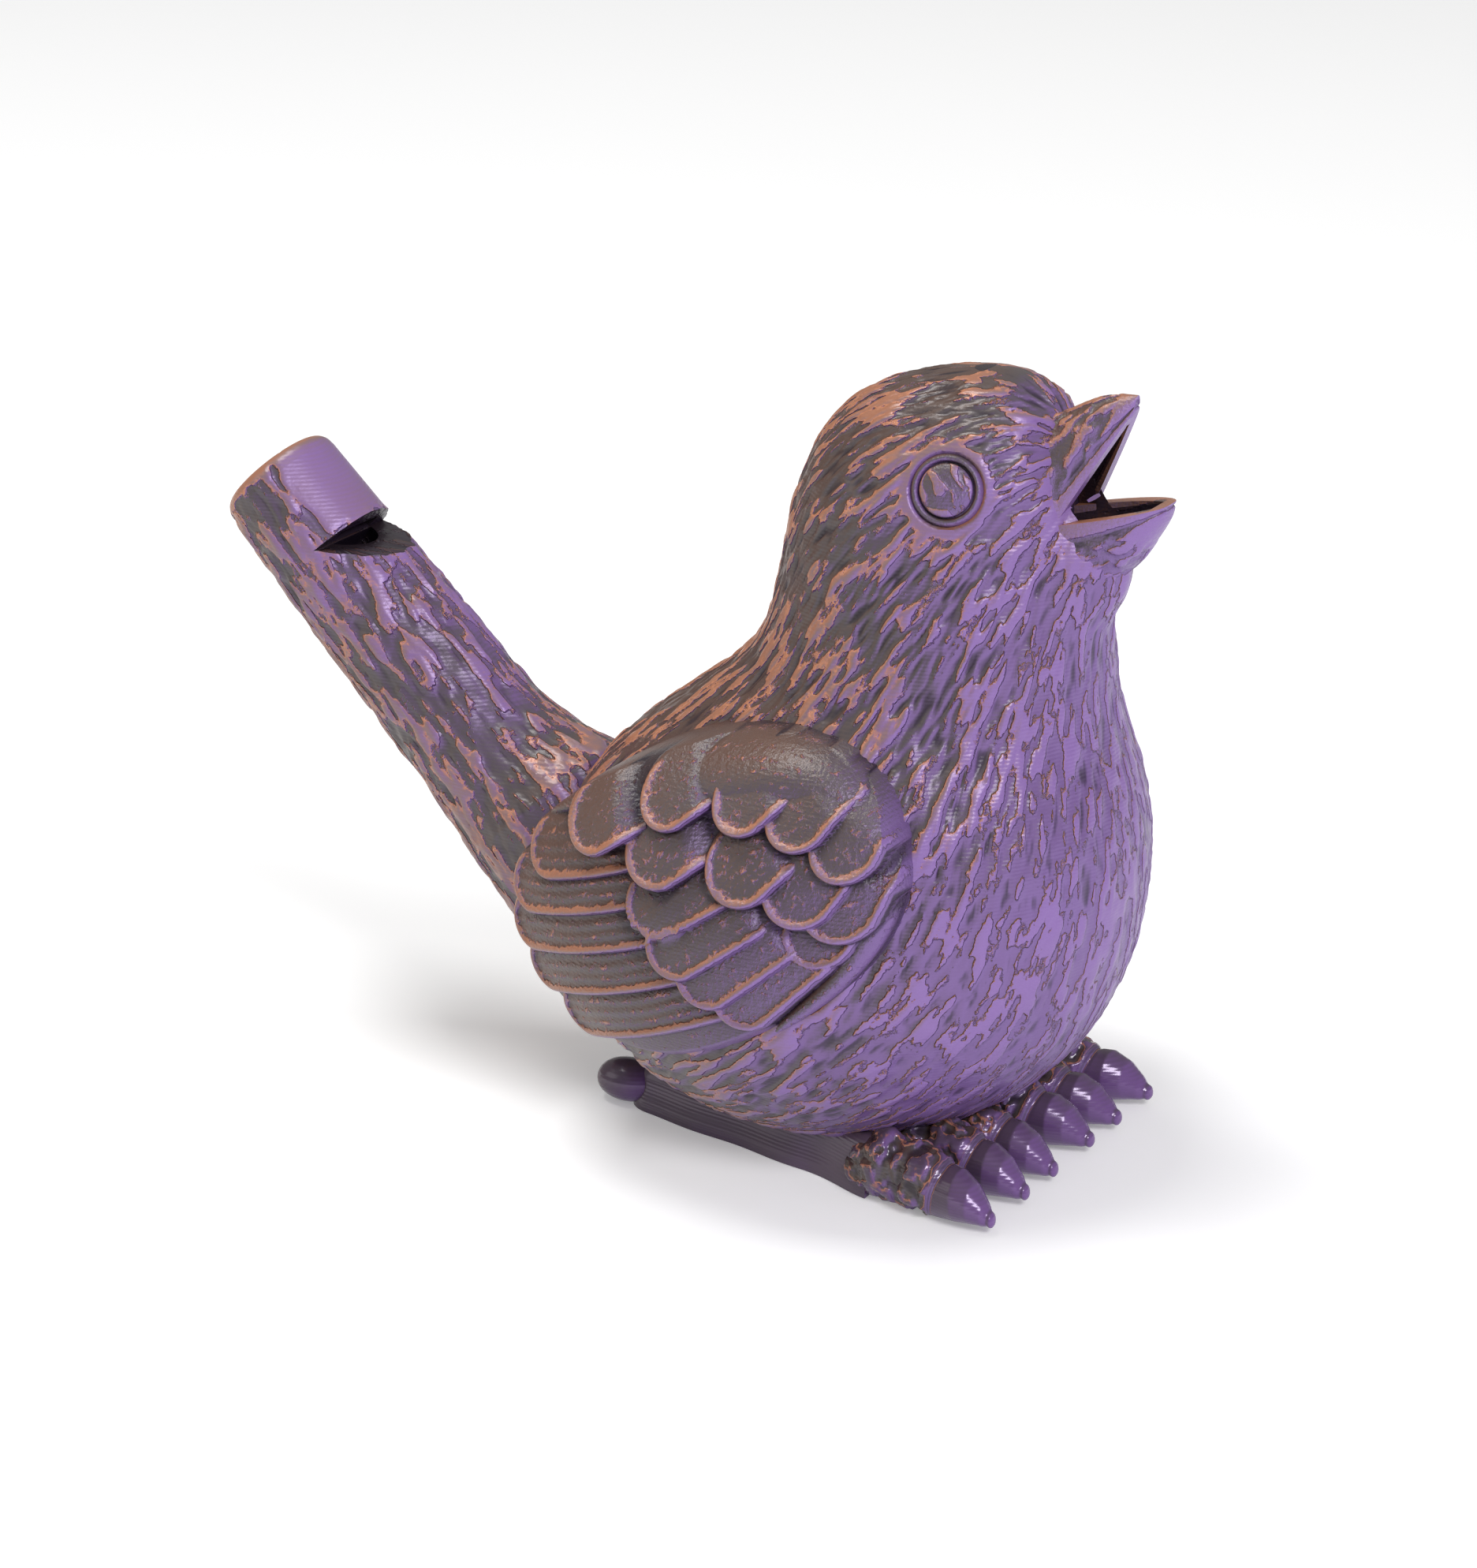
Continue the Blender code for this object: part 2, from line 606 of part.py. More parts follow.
def wing_feathers():
    """Return each feather of the right wing, from the long quills up to the shoulder."""
    feathers = []
    for index in range(QUILL_COUNT):
        share = index / (QUILL_COUNT - 1)
        rise = 5.6 - 18.0 * share
        end = np.array((-17.8 + 0.07 * (rise + 4.0) ** 2, rise)) * WING_UNIT
        start = np.array((14.0 * share, 10.5 - 11.5 * share)) * WING_UNIT
        middle = (start + end) / 2 + np.array((0.5, -1.0)) * WING_UNIT
        layer = 2.2 - 0.15 * index
        root = FEATHER_ROOT + FEATHER_STAGGER * len(feathers)
        feathers.append(feather(f"quill_{index}", start, middle, end, QUILL_WIDTH, layer, root, QUILL_DROOP, 5))
    rows = (
        (3.4, 1.0, 9.0, ((-2.5, -0.2), (-0.1, -3.4), (2.9, -5.4), (5.9, -6.8), (11.4, -1.7))),
        (4.5, 1.0, 7.0, ((-3.7, 3.7), (4.4, 3.3), (8.5, 1.3), (12.9, 1.8))),
        (5.6, 0.8, 4.5, ((-3.1, 7.7), (3.5, 8.1), (8.4, 7.0), (12.0, 5.7))),
    )
    for row, (layer, girth, length, tips) in enumerate(rows):
        for index, tip in enumerate(tips):
            end = np.array(tip) * WING_UNIT
            lean = np.array((0.62 - 0.035 * tip[0], 0.87))
            start = end + lean / np.linalg.norm(lean) * length * WING_UNIT
            width = SCALE_WIDTH * girth
            name = f"scale_{row}_{index}"
            root = FEATHER_ROOT + FEATHER_STAGGER * len(feathers)
            feathers.append(feather(name, start, (start + end) / 2, end, width, layer - 0.06 * index, root))
    return feathers


def make_shoulder():
    """Build the smooth crescent over the feathers' roots, which thins to a roll down the wing's front."""
    rings = []
    across = np.array((0.0, 0.15, 0.45, 0.8, 1.0))
    profile = np.array((-0.3, 0.5, 1.0, 0.9, 0.3))
    for share in np.linspace(0.03, 0.97, 22):
        turn = ROLL_FIRST + (ROLL_LAST - ROLL_FIRST) * share
        edge = wing_outline(np.array((turn, turn + 0.02)))
        ahead = edge[1] - edge[0]
        inward = np.array((-ahead[1], ahead[0])) / np.linalg.norm(ahead)
        taper = math.sqrt(math.sin(math.pi * share))
        crown = math.exp(-((turn - SHOULDER_TURN) / SHOULDER_SPREAD) ** 2)
        width = (ROLL_WIDTH + (SHOULDER_WIDTH - ROLL_WIDTH) * crown) * taper
        lift = (ROLL_LIFT + (SHOULDER_LIFT - ROLL_LIFT) * crown) * taper
        places = edge[0] + across[:, None] * inward * width
        tops = wing_surface(places, lift * profile + FEATHER_STEP)
        unders = tops[::-1] * np.array((1, 0, 1)) - np.array((0, FEATHER_ROOT - FEATHER_STAGGER, 0))
        rings.append(np.concatenate((tops, unders)))
    return loft("shoulder", rings)


def make_leg():
    """Build the right shank, which lies on the ground under the belly."""
    rings = []
    outward = -math.tan(FOOT_SPREAD)
    for share in (0.0, 0.3, 0.65, 1.0):
        x = FOOT_REAR + share * FOOT_LENGTH
        outer = -HEEL_OFFSET + outward * share * FOOT_LENGTH
        height = FOOT_HEIGHT * (0.85 + 0.35 * share)
        section = ((0.0, -0.5), (0.15, 0.3), (0.6, 0.55), (0.9, 0.95), (FOOT_WIDTH / MM, 1.0), (FOOT_WIDTH / MM, -0.5))
        rings.append([(x, outer + inset * MM, rise * height) for inset, rise in section])
    return loft("leg", rings)


def make_heel():
    """Build the flattened knob behind the right shank."""
    rings = []
    half_width, half_height = HEEL_WIDTH / 2, HEEL_HEIGHT / 2
    middle = Vector((FOOT_REAR, -HEEL_OFFSET + half_width * 0.4, half_height * 0.85))
    for turn in (-70, -40, -10, 20, 50, 80):
        slope = math.radians(turn)
        place = middle + Vector((HEEL_LENGTH / 2 * math.sin(slope), 0, 0))
        ring = circle((0, 0, 0), math.cos(slope), ACROSS, (0, 0, 1), 10)
        rings.append(ring * np.array((1.0, half_width, half_height)) + np.array(place))
    return loft("heel", rings)


def make_toe(name, tip_offset):
    """Build one toe with two knuckles and a curved blunt claw."""
    stops = ((-0.22, 0.42, 0.55), (-0.05, 0.6, 0.95), (0.12, 0.7, 1.06), (0.27, 0.62, 0.8), (0.42, 0.62, 1.02),
             (0.55, 0.56, 0.86), (0.58, 0.55, 0.72), (0.76, 0.48, 0.68), (0.9, 0.33, 0.46), (1.0, 0.2, 0.2))
    root_offset = tip_offset * TOE_FAN
    rings = []
    for share, rise, girth in stops:
        x = TOE_REACH - TOE_LENGTH * (1 - share)
        y = -(root_offset + (tip_offset - root_offset) * share)
        middle = (x, y, rise * TOE_DIAMETER)
        rings.append(circle(middle, girth * TOE_DIAMETER / 2, ACROSS, (0, 0, 1), TOE_SEGMENTS))
    return loft(name, rings)


def make_sole():
    """Build the flat sole that closes the belly between the feet."""
    rings = []
    turn = np.linspace(0, 2 * np.pi, 24, endpoint=False)
    for rise in (-0.5 * MM, FOOT_HEIGHT):
        x = BODY_SETBACK + np.cos(turn) * SOLE_LENGTH / 2
        y = np.sin(turn) * SOLE_WIDTH / 2
        rings.append(np.stack([x, y, np.full_like(x, rise)], axis=-1))
    return loft("sole", rings)


def drop_crumbs(build):
    """Keep the largest connected skin and delete the slivers that the joins leave loose."""
    left = set(build.verts)
    groups = []
    while left:
        group = {left.pop()}
        edge_of_group = list(group)
        while edge_of_group:
            vert = edge_of_group.pop()
            near = {edge.other_vert(vert) for edge in vert.link_edges} & left
            left -= near
            group |= near
            edge_of_group += near
        groups.append(group)
    groups.sort(key=len)
    for group in groups[:-1]:
        bmesh.ops.delete(build, geom=list(group), context="VERTS")


def keep_half_and_mirror(item):
    """Level the base at the ground, then keep the right half and mirror it."""
    build = bmesh.new()
    build.from_mesh(item.data)
    for place, out in (((0, 0, 0), (0, 0, -1)), ((0, 0, 0), (0, 1, 0))):
        geometry = build.verts[:] + build.edges[:] + build.faces[:]
        cut = bmesh.ops.bisect_plane(build, geom=geometry, dist=WELD, plane_co=place, plane_no=out,
                                     clear_outer=True)
        if out[2]:
            edges = [part for part in cut["geom_cut"] if isinstance(part, bmesh.types.BMEdge)]
            bmesh.ops.holes_fill(build, edges=edges, sides=0)
    bmesh.ops.triangulate(build, faces=build.faces[:])
    drop_crumbs(build)
    for vert in build.verts:
        if abs(vert.co.y) < WELD:
            vert.co.y = 0
    half = build.verts[:] + build.edges[:] + build.faces[:]
    copied = bmesh.ops.duplicate(build, geom=half)["geom"]
    twins = [part for part in copied if isinstance(part, bmesh.types.BMVert)]
    bmesh.ops.scale(build, vec=(1, -1, 1), verts=twins)
    faces = [part for part in copied if isinstance(part, bmesh.types.BMFace)]
    bmesh.ops.reverse_faces(build, faces=faces)
    seam = [vert for vert in build.verts if vert.co.y == 0]
    bmesh.ops.remove_doubles(build, verts=seam, dist=WELD / 10)
    build.to_mesh(item.data)
    build.free()


def paint(item):
    """Give the whistle its plum plastic and its smooth shading."""
    material = bpy.data.materials.new("plum_plastic")
    material.use_nodes = True
    shader = material.node_tree.nodes["Principled BSDF"]
    shader.inputs["Base Color"].default_value = PLUM
    shader.inputs["Roughness"].default_value = 0.35
    shader.inputs["Metallic"].default_value = 0.0
    item.data.materials.clear()
    item.data.materials.append(material)
    item.data.shade_smooth()
    item.data.set_sharp_from_angle(angle=math.radians(38))


def make_wing():
    """Join the right wing's pad, feathers and shoulder."""
    wing = make_wing_pad()
    for plate in (*wing_feathers(), make_shoulder()):
        combine(wing, plate, "UNION")
    return wing


def make_hollows():
    """Build the cutters of the airway, from the mouthpiece's slot to the open beak."""
    hollows = [make_chamber(), make_bore(), make_throat()]
    hollows.append(make_mouth("palate", upper_section, 0.72, BEAK_WALL))
    hollows.append(make_mouth("tongue_floor", lower_section, 0.5, LOWER_BEAK_WALL))
    return hollows + [make_window(), make_windway()]


def main():
    """Build the whistle."""
    clear_scene()
    whistle = make_body()
    pieces = [make_tail(), make_sole(), make_leg(), make_heel()]
    pieces.append(make_mandible("upper_beak", upper_section))
    pieces.append(make_mandible("lower_beak", lower_section))
    for name, offset in (("inner_toe", INNER_TOE), ("middle_toe", MIDDLE_TOE), ("outer_toe", OUTER_TOE)):
        pieces.append(make_toe(name, offset))
    for piece in pieces:
        combine(whistle, piece, "UNION")
    combine(whistle, make_wing(), "UNION")
    socket, eye = make_eye_parts()
    combine(whistle, socket, "DIFFERENCE")
    combine(whistle, eye, "UNION")
    for hollow in make_hollows():
        combine(whistle, hollow, "DIFFERENCE")
    keep_half_and_mirror(whistle)
    paint(whistle)


main()
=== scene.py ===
"""Looks of the bird whistle: a songbird printed in silky two-colour plastic, with carved plumage.

The plastic shows plum where a face looks forward or down, copper where it looks back or up, and a warm
dark grey in between, as two-colour print plastic does.
"""

import logging
import math
from dataclasses import dataclass, field
from enum import Enum
from typing import Callable, Optional, Sequence

import bpy
import numpy as np
from mathutils import Matrix, Vector
from mathutils.kdtree import KDTree

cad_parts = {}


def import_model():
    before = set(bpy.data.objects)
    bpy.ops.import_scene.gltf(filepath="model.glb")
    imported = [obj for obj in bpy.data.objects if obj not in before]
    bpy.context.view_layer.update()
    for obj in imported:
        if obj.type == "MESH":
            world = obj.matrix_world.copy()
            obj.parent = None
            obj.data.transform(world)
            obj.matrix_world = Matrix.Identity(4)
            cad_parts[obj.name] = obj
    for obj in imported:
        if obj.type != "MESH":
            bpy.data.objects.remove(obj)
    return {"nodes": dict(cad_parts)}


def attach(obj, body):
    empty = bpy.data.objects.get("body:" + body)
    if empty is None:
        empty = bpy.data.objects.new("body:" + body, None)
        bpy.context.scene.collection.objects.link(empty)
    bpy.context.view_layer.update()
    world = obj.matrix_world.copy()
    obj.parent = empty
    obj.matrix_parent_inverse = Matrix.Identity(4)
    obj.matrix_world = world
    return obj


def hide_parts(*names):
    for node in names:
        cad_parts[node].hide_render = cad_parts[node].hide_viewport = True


MM = 0.001
ACROSS = np.array((0.0, 1.0, 0.0))
UP = np.array((0.0, 0.0, 1.0))

GROUND = -0.7
OUTSIDE = -1.0

log = logging.getLogger("bird_whistle")


class Join(Enum):
    """The ways in which one closed mesh can work on another."""

    UNION = "UNION"
    CUT = "DIFFERENCE"


def bump_of(values: np.ndarray, middle: float, spread: float) -> np.ndarray:
    """Return a smooth hump round a middle value."""
    return np.exp(-(((values - middle) / spread) ** 2))


def smooth(values: np.ndarray, low: float, high: float) -> np.ndarray:
    """Return a smooth step from 0 at low to 1 at high."""
    share = np.clip((values - low) / (high - low), 0.0, 1.0)
    return share * share * (3 - 2 * share)


def unit(vectors: np.ndarray) -> np.ndarray:
    """Return vectors scaled to a length of one."""
    return vectors / (np.linalg.norm(vectors, axis=-1, keepdims=True) + 1e-12)


@dataclass
class Grain:
    """A field of smooth random lumps in space, of which each seed fixes another."""

    seed: int
    size: float
    count: int = 64
    shift: float = 20.5
    values: np.ndarray = field(init=False, repr=False)

    def __post_init__(self) -> None:
        """Fill the lattice with seeded random values."""
        self.values = np.random.default_rng(self.seed).standard_normal((self.count,) * 3)

    def at(self, points: np.ndarray) -> np.ndarray:
        """Read the field.

        Args:
            points: Places in metres, with the three coordinates last.

        Returns:
            One value per place.
        """
        scaled = points / self.size + self.shift
        floor = np.floor(scaled).astype(int)
        part = scaled - floor
        part = part * part * (3 - 2 * part)
        total = np.zeros(points.shape[:-1])
        for corner in range(8):
            ahead = np.array((corner & 1, corner >> 1 & 1, corner >> 2 & 1))
            index = (floor + ahead) % self.count
            weight = np.where(ahead == 1, part, 1 - part).prod(axis=-1)
            total += weight * self.values[index[..., 0], index[..., 1], index[..., 2]]
        return total


@dataclass(frozen=True)
class BarbLayer:
    """One layer of barbs: its seed, its sizes in millimetres, and how far and how sharply it stands out."""

    seed: int
    width: float
    length: float
    steps: int
    gain: float
    steepness: float


@dataclass
class Strands:
    """Barbs of plumage: random lumps that are drawn out along a flow over a skin of closed rings."""

    points: np.ndarray
    flow: np.ndarray
    stride_limit: float = 4.0
    speed: np.ndarray = field(init=False, repr=False)

    def __post_init__(self) -> None:
        """Work out how the flow runs over the skin's rings."""
        points, flow = self.points, self.flow
        down = np.gradient(points, axis=0)
        around = (np.roll(points, -1, 1) - np.roll(points, 1, 1)) / 2
        dd = (down * down).sum(-1)
        da = (down * around).sum(-1)
        aa = (around * around).sum(-1)
        fd = (flow * down).sum(-1)
        fa = (flow * around).sum(-1)
        solid = dd * aa - da * da + 1e-20
        self.speed = np.stack([(aa * fd - da * fa) / solid, (dd * fa - da * fd) / solid], axis=-1)

    def look_up(self, table: np.ndarray, rows: np.ndarray, columns: np.ndarray) -> np.ndarray:
        """Read a table between its rows and columns, which wrap round each ring.

        Args:
            table: Values by row and column.
            rows: Rows to read, with fractions.
            columns: Columns to read, with fractions.

        Returns:
            One value per place.
        """
        height, width = table.shape[:2]
        rows = np.clip(rows, 0, height - 1.001)
        row, column = np.floor(rows).astype(int), np.floor(columns).astype(int)
        right, lower = (columns - column)[..., None], (rows - row)[..., None]
        column, after = column % width, (column + 1) % width
        top = table[row, column] * (1 - right) + table[row, after] * right
        bottom = table[row + 1, column] * (1 - right) + table[row + 1, after] * right
        return top * (1 - lower) + bottom * lower

    def draw(self, grain: Grain, length: float, steps: int = 7) -> np.ndarray:
        """Draw the grain out along the flow.

        Args:
            grain: The lumps to draw out.
            length: How long a barb gets, in metres.
            steps: How many places are read each way.

        Returns:
            One value per point, with a mean of zero and a spread of one.
        """
        count, around = self.points.shape[:2]
        rows, columns = np.meshgrid(np.arange(count), np.arange(around), indexing="ij")
        total = grain.at(self.points)
        for sense in (1, -1):
            place_row, place_column = rows.astype(float), columns.astype(float)
            for index in range(1, steps + 1):
                speed = self.look_up(self.speed, place_row, place_column)
                stride = np.clip(sense * speed * length / 2 / steps, -self.stride_limit, self.stride_limit)
                place_row = np.clip(place_row + stride[..., 0], 0, rows.max())
                place_column = place_column + stride[..., 1]
                weight = math.cos(math.pi / 2 * index / (steps + 1)) ** 2
                total += weight * grain.at(self.look_up(self.points, place_row, place_column))
        total -= total.mean()
        return total / total.std()

    def relief(self, layers: Sequence[BarbLayer]) -> np.ndarray:
        """Draw several layers of barbs over each other.

        Args:
            layers: The layers, from broad to fine.

        Returns:
            One value per point.
        """
        total = np.zeros(self.points.shape[:2])
        for layer in layers:
            drawn = self.draw(Grain(layer.seed, layer.width * MM), layer.length * MM, layer.steps)
            total = total + layer.gain * np.tanh(layer.steepness * drawn)
        return total


class MeshWork:
    """The bench where rings of points become pieces."""

    wall_gap = 0.45 * MM
    wall_turn = 0.5
    # How strong the painted shade on the walls of a hollow is.
    wall_shade = 0.88

    @staticmethod
    def skin(name: str, rings: np.ndarray, first: Optional[np.ndarray] = None,
             last: Optional[np.ndarray] = None, barbs: Optional[np.ndarray] = None,
             hollow: Optional[np.ndarray] = None) -> bpy.types.Object:
        """Skin closed rings into a closed mesh.

        Args:
            name: The piece's name.
            rings: Rings by segments by coordinates.
            first: A point that closes the first ring, or nothing for a flat end.
            last: A point that closes the last ring, or nothing for a flat end.
            barbs: How proud each point of the rings stands, from -1 to 1, or nothing for a smooth piece.
            hollow: How much painted shade each point gets for lying deep in a gap, from 0 to 1, or nothing
                for an open piece.

        Returns:
            The new object.
        """
        count, around = rings.shape[:2]
        verts = rings.reshape(-1, 3).tolist()
        index = np.arange(count * around).reshape(count, around)
        after = np.roll(index, -1, axis=1)
        quads = np.stack([index[:-1], after[:-1], after[1:], index[1:]], axis=-1).reshape(-1, 4)
        faces = quads.tolist()
        for loop, tip, turn in ((index[0], first, -1), (index[-1], last, 1)):
            if tip is None:
                faces.append(loop[::turn].tolist())
                continue
            verts.append(list(tip))
            for corner, following in zip(loop, np.roll(loop, -1)):
                face = [int(corner), int(following), len(verts) - 1]
                faces.append(face[::turn])
        mesh = bpy.data.meshes.new(name)
        mesh.from_pydata(verts, [], faces)
        mesh.validate()
        for attribute, given, plain in (("barbs", barbs, GROUND), ("hollow", hollow, 0.0)):
            values = np.full(len(verts), plain, dtype=np.float32)
            if given is not None:
                values[:given.size] = given.ravel()
            mesh.attributes.new(attribute, "FLOAT", "POINT").data.foreach_set("value", values)
        piece = bpy.data.objects.new(name, mesh)
        bpy.context.scene.collection.objects.link(piece)
        MeshWork.face_outward(piece)
        return piece

    @staticmethod
    def face_outward(piece: bpy.types.Object) -> None:
        """Turn a closed piece's faces outward if they look inward.

        Args:
            piece: The piece that changes.
        """
        mesh = piece.data
        mesh.calc_loop_triangles()
        corners = np.zeros(len(mesh.vertices) * 3)
        mesh.vertices.foreach_get("co", corners)
        corners = corners.reshape(-1, 3)
        order = np.zeros(len(mesh.loop_triangles) * 3, dtype=np.int32)
        mesh.loop_triangles.foreach_get("vertices", order)
        a, b, c = corners[order.reshape(-1, 3)].transpose(1, 0, 2)
        if (np.cross(a, b) * c).sum() < 0:
            mesh.flip_normals()

    @staticmethod
    def combine(piece: bpy.types.Object, tool: bpy.types.Object, way: Join) -> None:
        """Join a tool to a piece or cut it out, and drop the tool.

        Args:
            piece: The piece that changes.
            tool: The piece that is used up.
            way: Whether it is joined or cut.
        """
        step = piece.modifiers.new(way.name.title(), "BOOLEAN")
        step.operation = way.value
        step.solver = "MANIFOLD"
        step.object = tool
        bpy.context.view_layer.update()
        shaped = piece.evaluated_get(bpy.context.evaluated_depsgraph_get())
        mesh = bpy.data.meshes.new_from_object(shaped)
        piece.modifiers.remove(step)
        piece.data = mesh
        bpy.data.objects.remove(tool, do_unlink=True)

    @staticmethod
    def restore(piece: bpy.types.Object, points: np.ndarray, barbs: np.ndarray,
                deep: Callable[[Vector], bool]) -> None:
        """Give a cut piece its barbs again, and paint shade on the walls of its hollows.

        Args:
            piece: The piece after its cuts.
            points: The points of its rings.
            barbs: How proud each of them stands.
            deep: Tells whether a place can lie on the wall of a hollow.
        """
        flat, values = points.reshape(-1, 3), barbs.ravel()
        outward = MeshWork.outward(points).reshape(-1, 3)
        tree = KDTree(len(flat))
        for index, point in enumerate(flat):
            tree.insert(point, index)
        tree.balance()
        mesh = piece.data
        for name in ("barbs", "hollow"):
            if name in mesh.attributes:
                mesh.attributes.remove(mesh.attributes[name])
        nearest = [tree.find(vertex.co)[1] for vertex in mesh.vertices]
        stored = mesh.attributes.new("barbs", "FLOAT", "POINT")
        stored.data.foreach_set("value", values[nearest].astype(np.float32))
        hollow = np.zeros(len(mesh.polygons), dtype=np.float32)
        for index, face in enumerate(mesh.polygons):
            centre = face.center
            if not deep(centre):
                continue
            _, near, gap = tree.find(centre)
            # Faces that lie off the outer skin, on the walls of a hollow, get painted shade.
            if gap > MeshWork.wall_gap or Vector(outward[near]).dot(face.normal) < MeshWork.wall_turn:
                hollow[index] = MeshWork.wall_shade
        mesh.attributes.new("hollow", "FLOAT", "FACE").data.foreach_set("value", hollow)

    @staticmethod
    def circle(middle: np.ndarray, radius: np.ndarray, side: np.ndarray, up: np.ndarray,
               segments: int) -> np.ndarray:
        """Return a circle that lies along two directions."""
        turn = np.linspace(0, 2 * np.pi, segments, endpoint=False)[:, None]
        return middle + radius * (np.cos(turn) * side + np.sin(turn) * up)

    @staticmethod
    def mirrored(piece: bpy.types.Object, name: str) -> bpy.types.Object:
        """Return the left twin of a right piece.

        Args:
            piece: The right piece.
            name: The twin's name.

        Returns:
            The twin.
        """
        mesh = piece.data.copy()
        mesh.transform(Matrix.Diagonal((1, -1, 1, 1)))
        mesh.flip_normals()
        twin = bpy.data.objects.new(name, mesh)
        bpy.context.scene.collection.objects.link(twin)
        return twin

    @staticmethod
    def outward(points: np.ndarray) -> np.ndarray:
        """Return the direction square to a ringed skin at each of its points.

        Args:
            points: Rings by segments by coordinates.

        Returns:
            One direction per point, leading outward.
        """
        down = np.gradient(points, axis=0)
        around = np.roll(points, -1, 1) - np.roll(points, 1, 1)
        square = unit(np.cross(down, around))
        centre = points.mean(axis=1, keepdims=True)
        if ((points - centre) * square).sum() < 0:
            square = -square
        return square


@dataclass(frozen=True)
class SilkFinish:
    """Silky two-colour print plastic, whose colour turns with the way a face looks.

    The ground is dark and barbs that stand proud of it are plum or copper. Barb edges on the copper side get
    a painted copper highlight, and deep gaps and the walls of hollows get painted shade.
    """

    name: str = "carved_silk"
    barb_height: float = 0.27 * MM
    stipple_height: float = 0.03 * MM
    stipple_size: float = 0.55 * MM
    layer_height: float = 0.004 * MM
    layer_gap: float = 0.3 * MM
    roughness: float = 0.36
    gloss_drift: float = 0.14
    # Strength of the painted copper highlight on barb edges.
    edge_highlight: float = 0.9
    ground: Sequence[tuple] = (
        (0.0, (0.12, 0.055, 0.034, 1)),
        (0.30, (0.10, 0.062, 0.050, 1)),
        (0.50, (0.088, 0.072, 0.076, 1)),
        (0.63, (0.11, 0.075, 0.13, 1)),
        (0.77, (0.185, 0.105, 0.28, 1)),
        (1.0, (0.215, 0.12, 0.36, 1)),
    )
    proud: Sequence[tuple] = (
        (0.0, (0.46, 0.175, 0.08, 1)),
        (0.30, (0.38, 0.165, 0.10, 1)),
        (0.46, (0.25, 0.15, 0.155, 1)),
        (0.60, (0.25, 0.145, 0.26, 1)),
        (0.78, (0.27, 0.155, 0.42, 1)),
        (1.0, (0.27, 0.15, 0.44, 1)),
    )
    # Near-black colour of the painted shade in deep gaps and on the walls of hollows.
    painted_shade: tuple = (0.016, 0.009, 0.018, 1)
    # Bright copper of the painted highlight on barb edges, laid over the plastic's own copper side.
    copper: tuple = (0.62, 0.25, 0.13, 1)
    plum_side: tuple = (0.93, -0.08, -0.36)
    colour_drift: float = 0.3
    mottle_scale: float = 130.0
    grain_detail: float = 3.0
    stipple_reach: float = 1.2
    proud_step: tuple = (-0.12, 0.2)
    inner_step: tuple = (0.1, 0.5)
    copper_step: tuple = (0.80, 0.45)
    # Barbs that fall through these levels get painted shade, at most as strong as pit_shade.
    shade_step: tuple = (-0.75, -1.5)
    pit_shade: float = 0.85
    metallic: float = 0.1
    specular: float = 0.55

    @staticmethod
    def fill(tree: bpy.types.NodeTree, value: object, socket: bpy.types.NodeSocket) -> None:
        """Link a socket to another, or set it to a plain value.

        Args:
            tree: The material's nodes.
            value: A socket, a number or a colour, or nothing to leave the socket as it is.
            socket: The socket that takes it.
        """
        if isinstance(value, bpy.types.NodeSocket):
            tree.links.new(value, socket)
        elif value is not None:
            socket.default_value = value

    @staticmethod
    def attribute(tree: bpy.types.NodeTree, name: str) -> bpy.types.NodeSocket:
        """Read a value that is stored on the mesh.

        Args:
            tree: The material's nodes.
            name: The value's name.

        Returns:
            The value's socket.
        """
        node = tree.nodes.new("ShaderNodeAttribute")
        node.attribute_name = name
        return node.outputs["Fac"]

    @staticmethod
    def ramp(tree: bpy.types.NodeTree, stops: Sequence[tuple],
             place: bpy.types.NodeSocket) -> bpy.types.NodeSocket:
        """Add a colour ramp.

        Args:
            tree: The material's nodes.
            stops: Position and colour of each stop.
            place: Where on the ramp the colour is read.

        Returns:
            The colour's socket.
        """
        node = tree.nodes.new("ShaderNodeValToRGB")
        while len(node.color_ramp.elements) < len(stops):
            node.color_ramp.elements.new(0.5)
        for element, (position, colour) in zip(node.color_ramp.elements, stops):
            element.position = position
            element.color = colour
        tree.links.new(place, node.inputs["Fac"])
        return node.outputs["Color"]

    @staticmethod
    def maths(tree: bpy.types.NodeTree, operation: str, first: object, second: object = None,
              third: object = None) -> bpy.types.NodeSocket:
        """Add a sum.

        Args:
            tree: The material's nodes.
            operation: What is worked out.
            first: A socket or a number.
            second: A socket, a number or nothing.
            third: A socket, a number or nothing.

        Returns:
            The result's socket.
        """
        node = tree.nodes.new("ShaderNodeMath")
        node.operation = operation
        for index, value in enumerate((first, second, third)):
            SilkFinish.fill(tree, value, node.inputs[index])
        return node.outputs["Value"]

    @staticmethod
    def step(tree: bpy.types.NodeTree, value: bpy.types.NodeSocket, low: float,
             high: float) -> bpy.types.NodeSocket:
        """Add a smooth step.

        Args:
            tree: The material's nodes.
            value: The socket that is stepped.
            low: Where the step starts from 0.
            high: Where it reaches 1.

        Returns:
            The result's socket.
        """
        node = tree.nodes.new("ShaderNodeMapRange")
        node.interpolation_type = "SMOOTHSTEP"
        node.inputs["From Min"].default_value = low
        node.inputs["From Max"].default_value = high
        tree.links.new(value, node.inputs["Value"])
        return node.outputs["Result"]

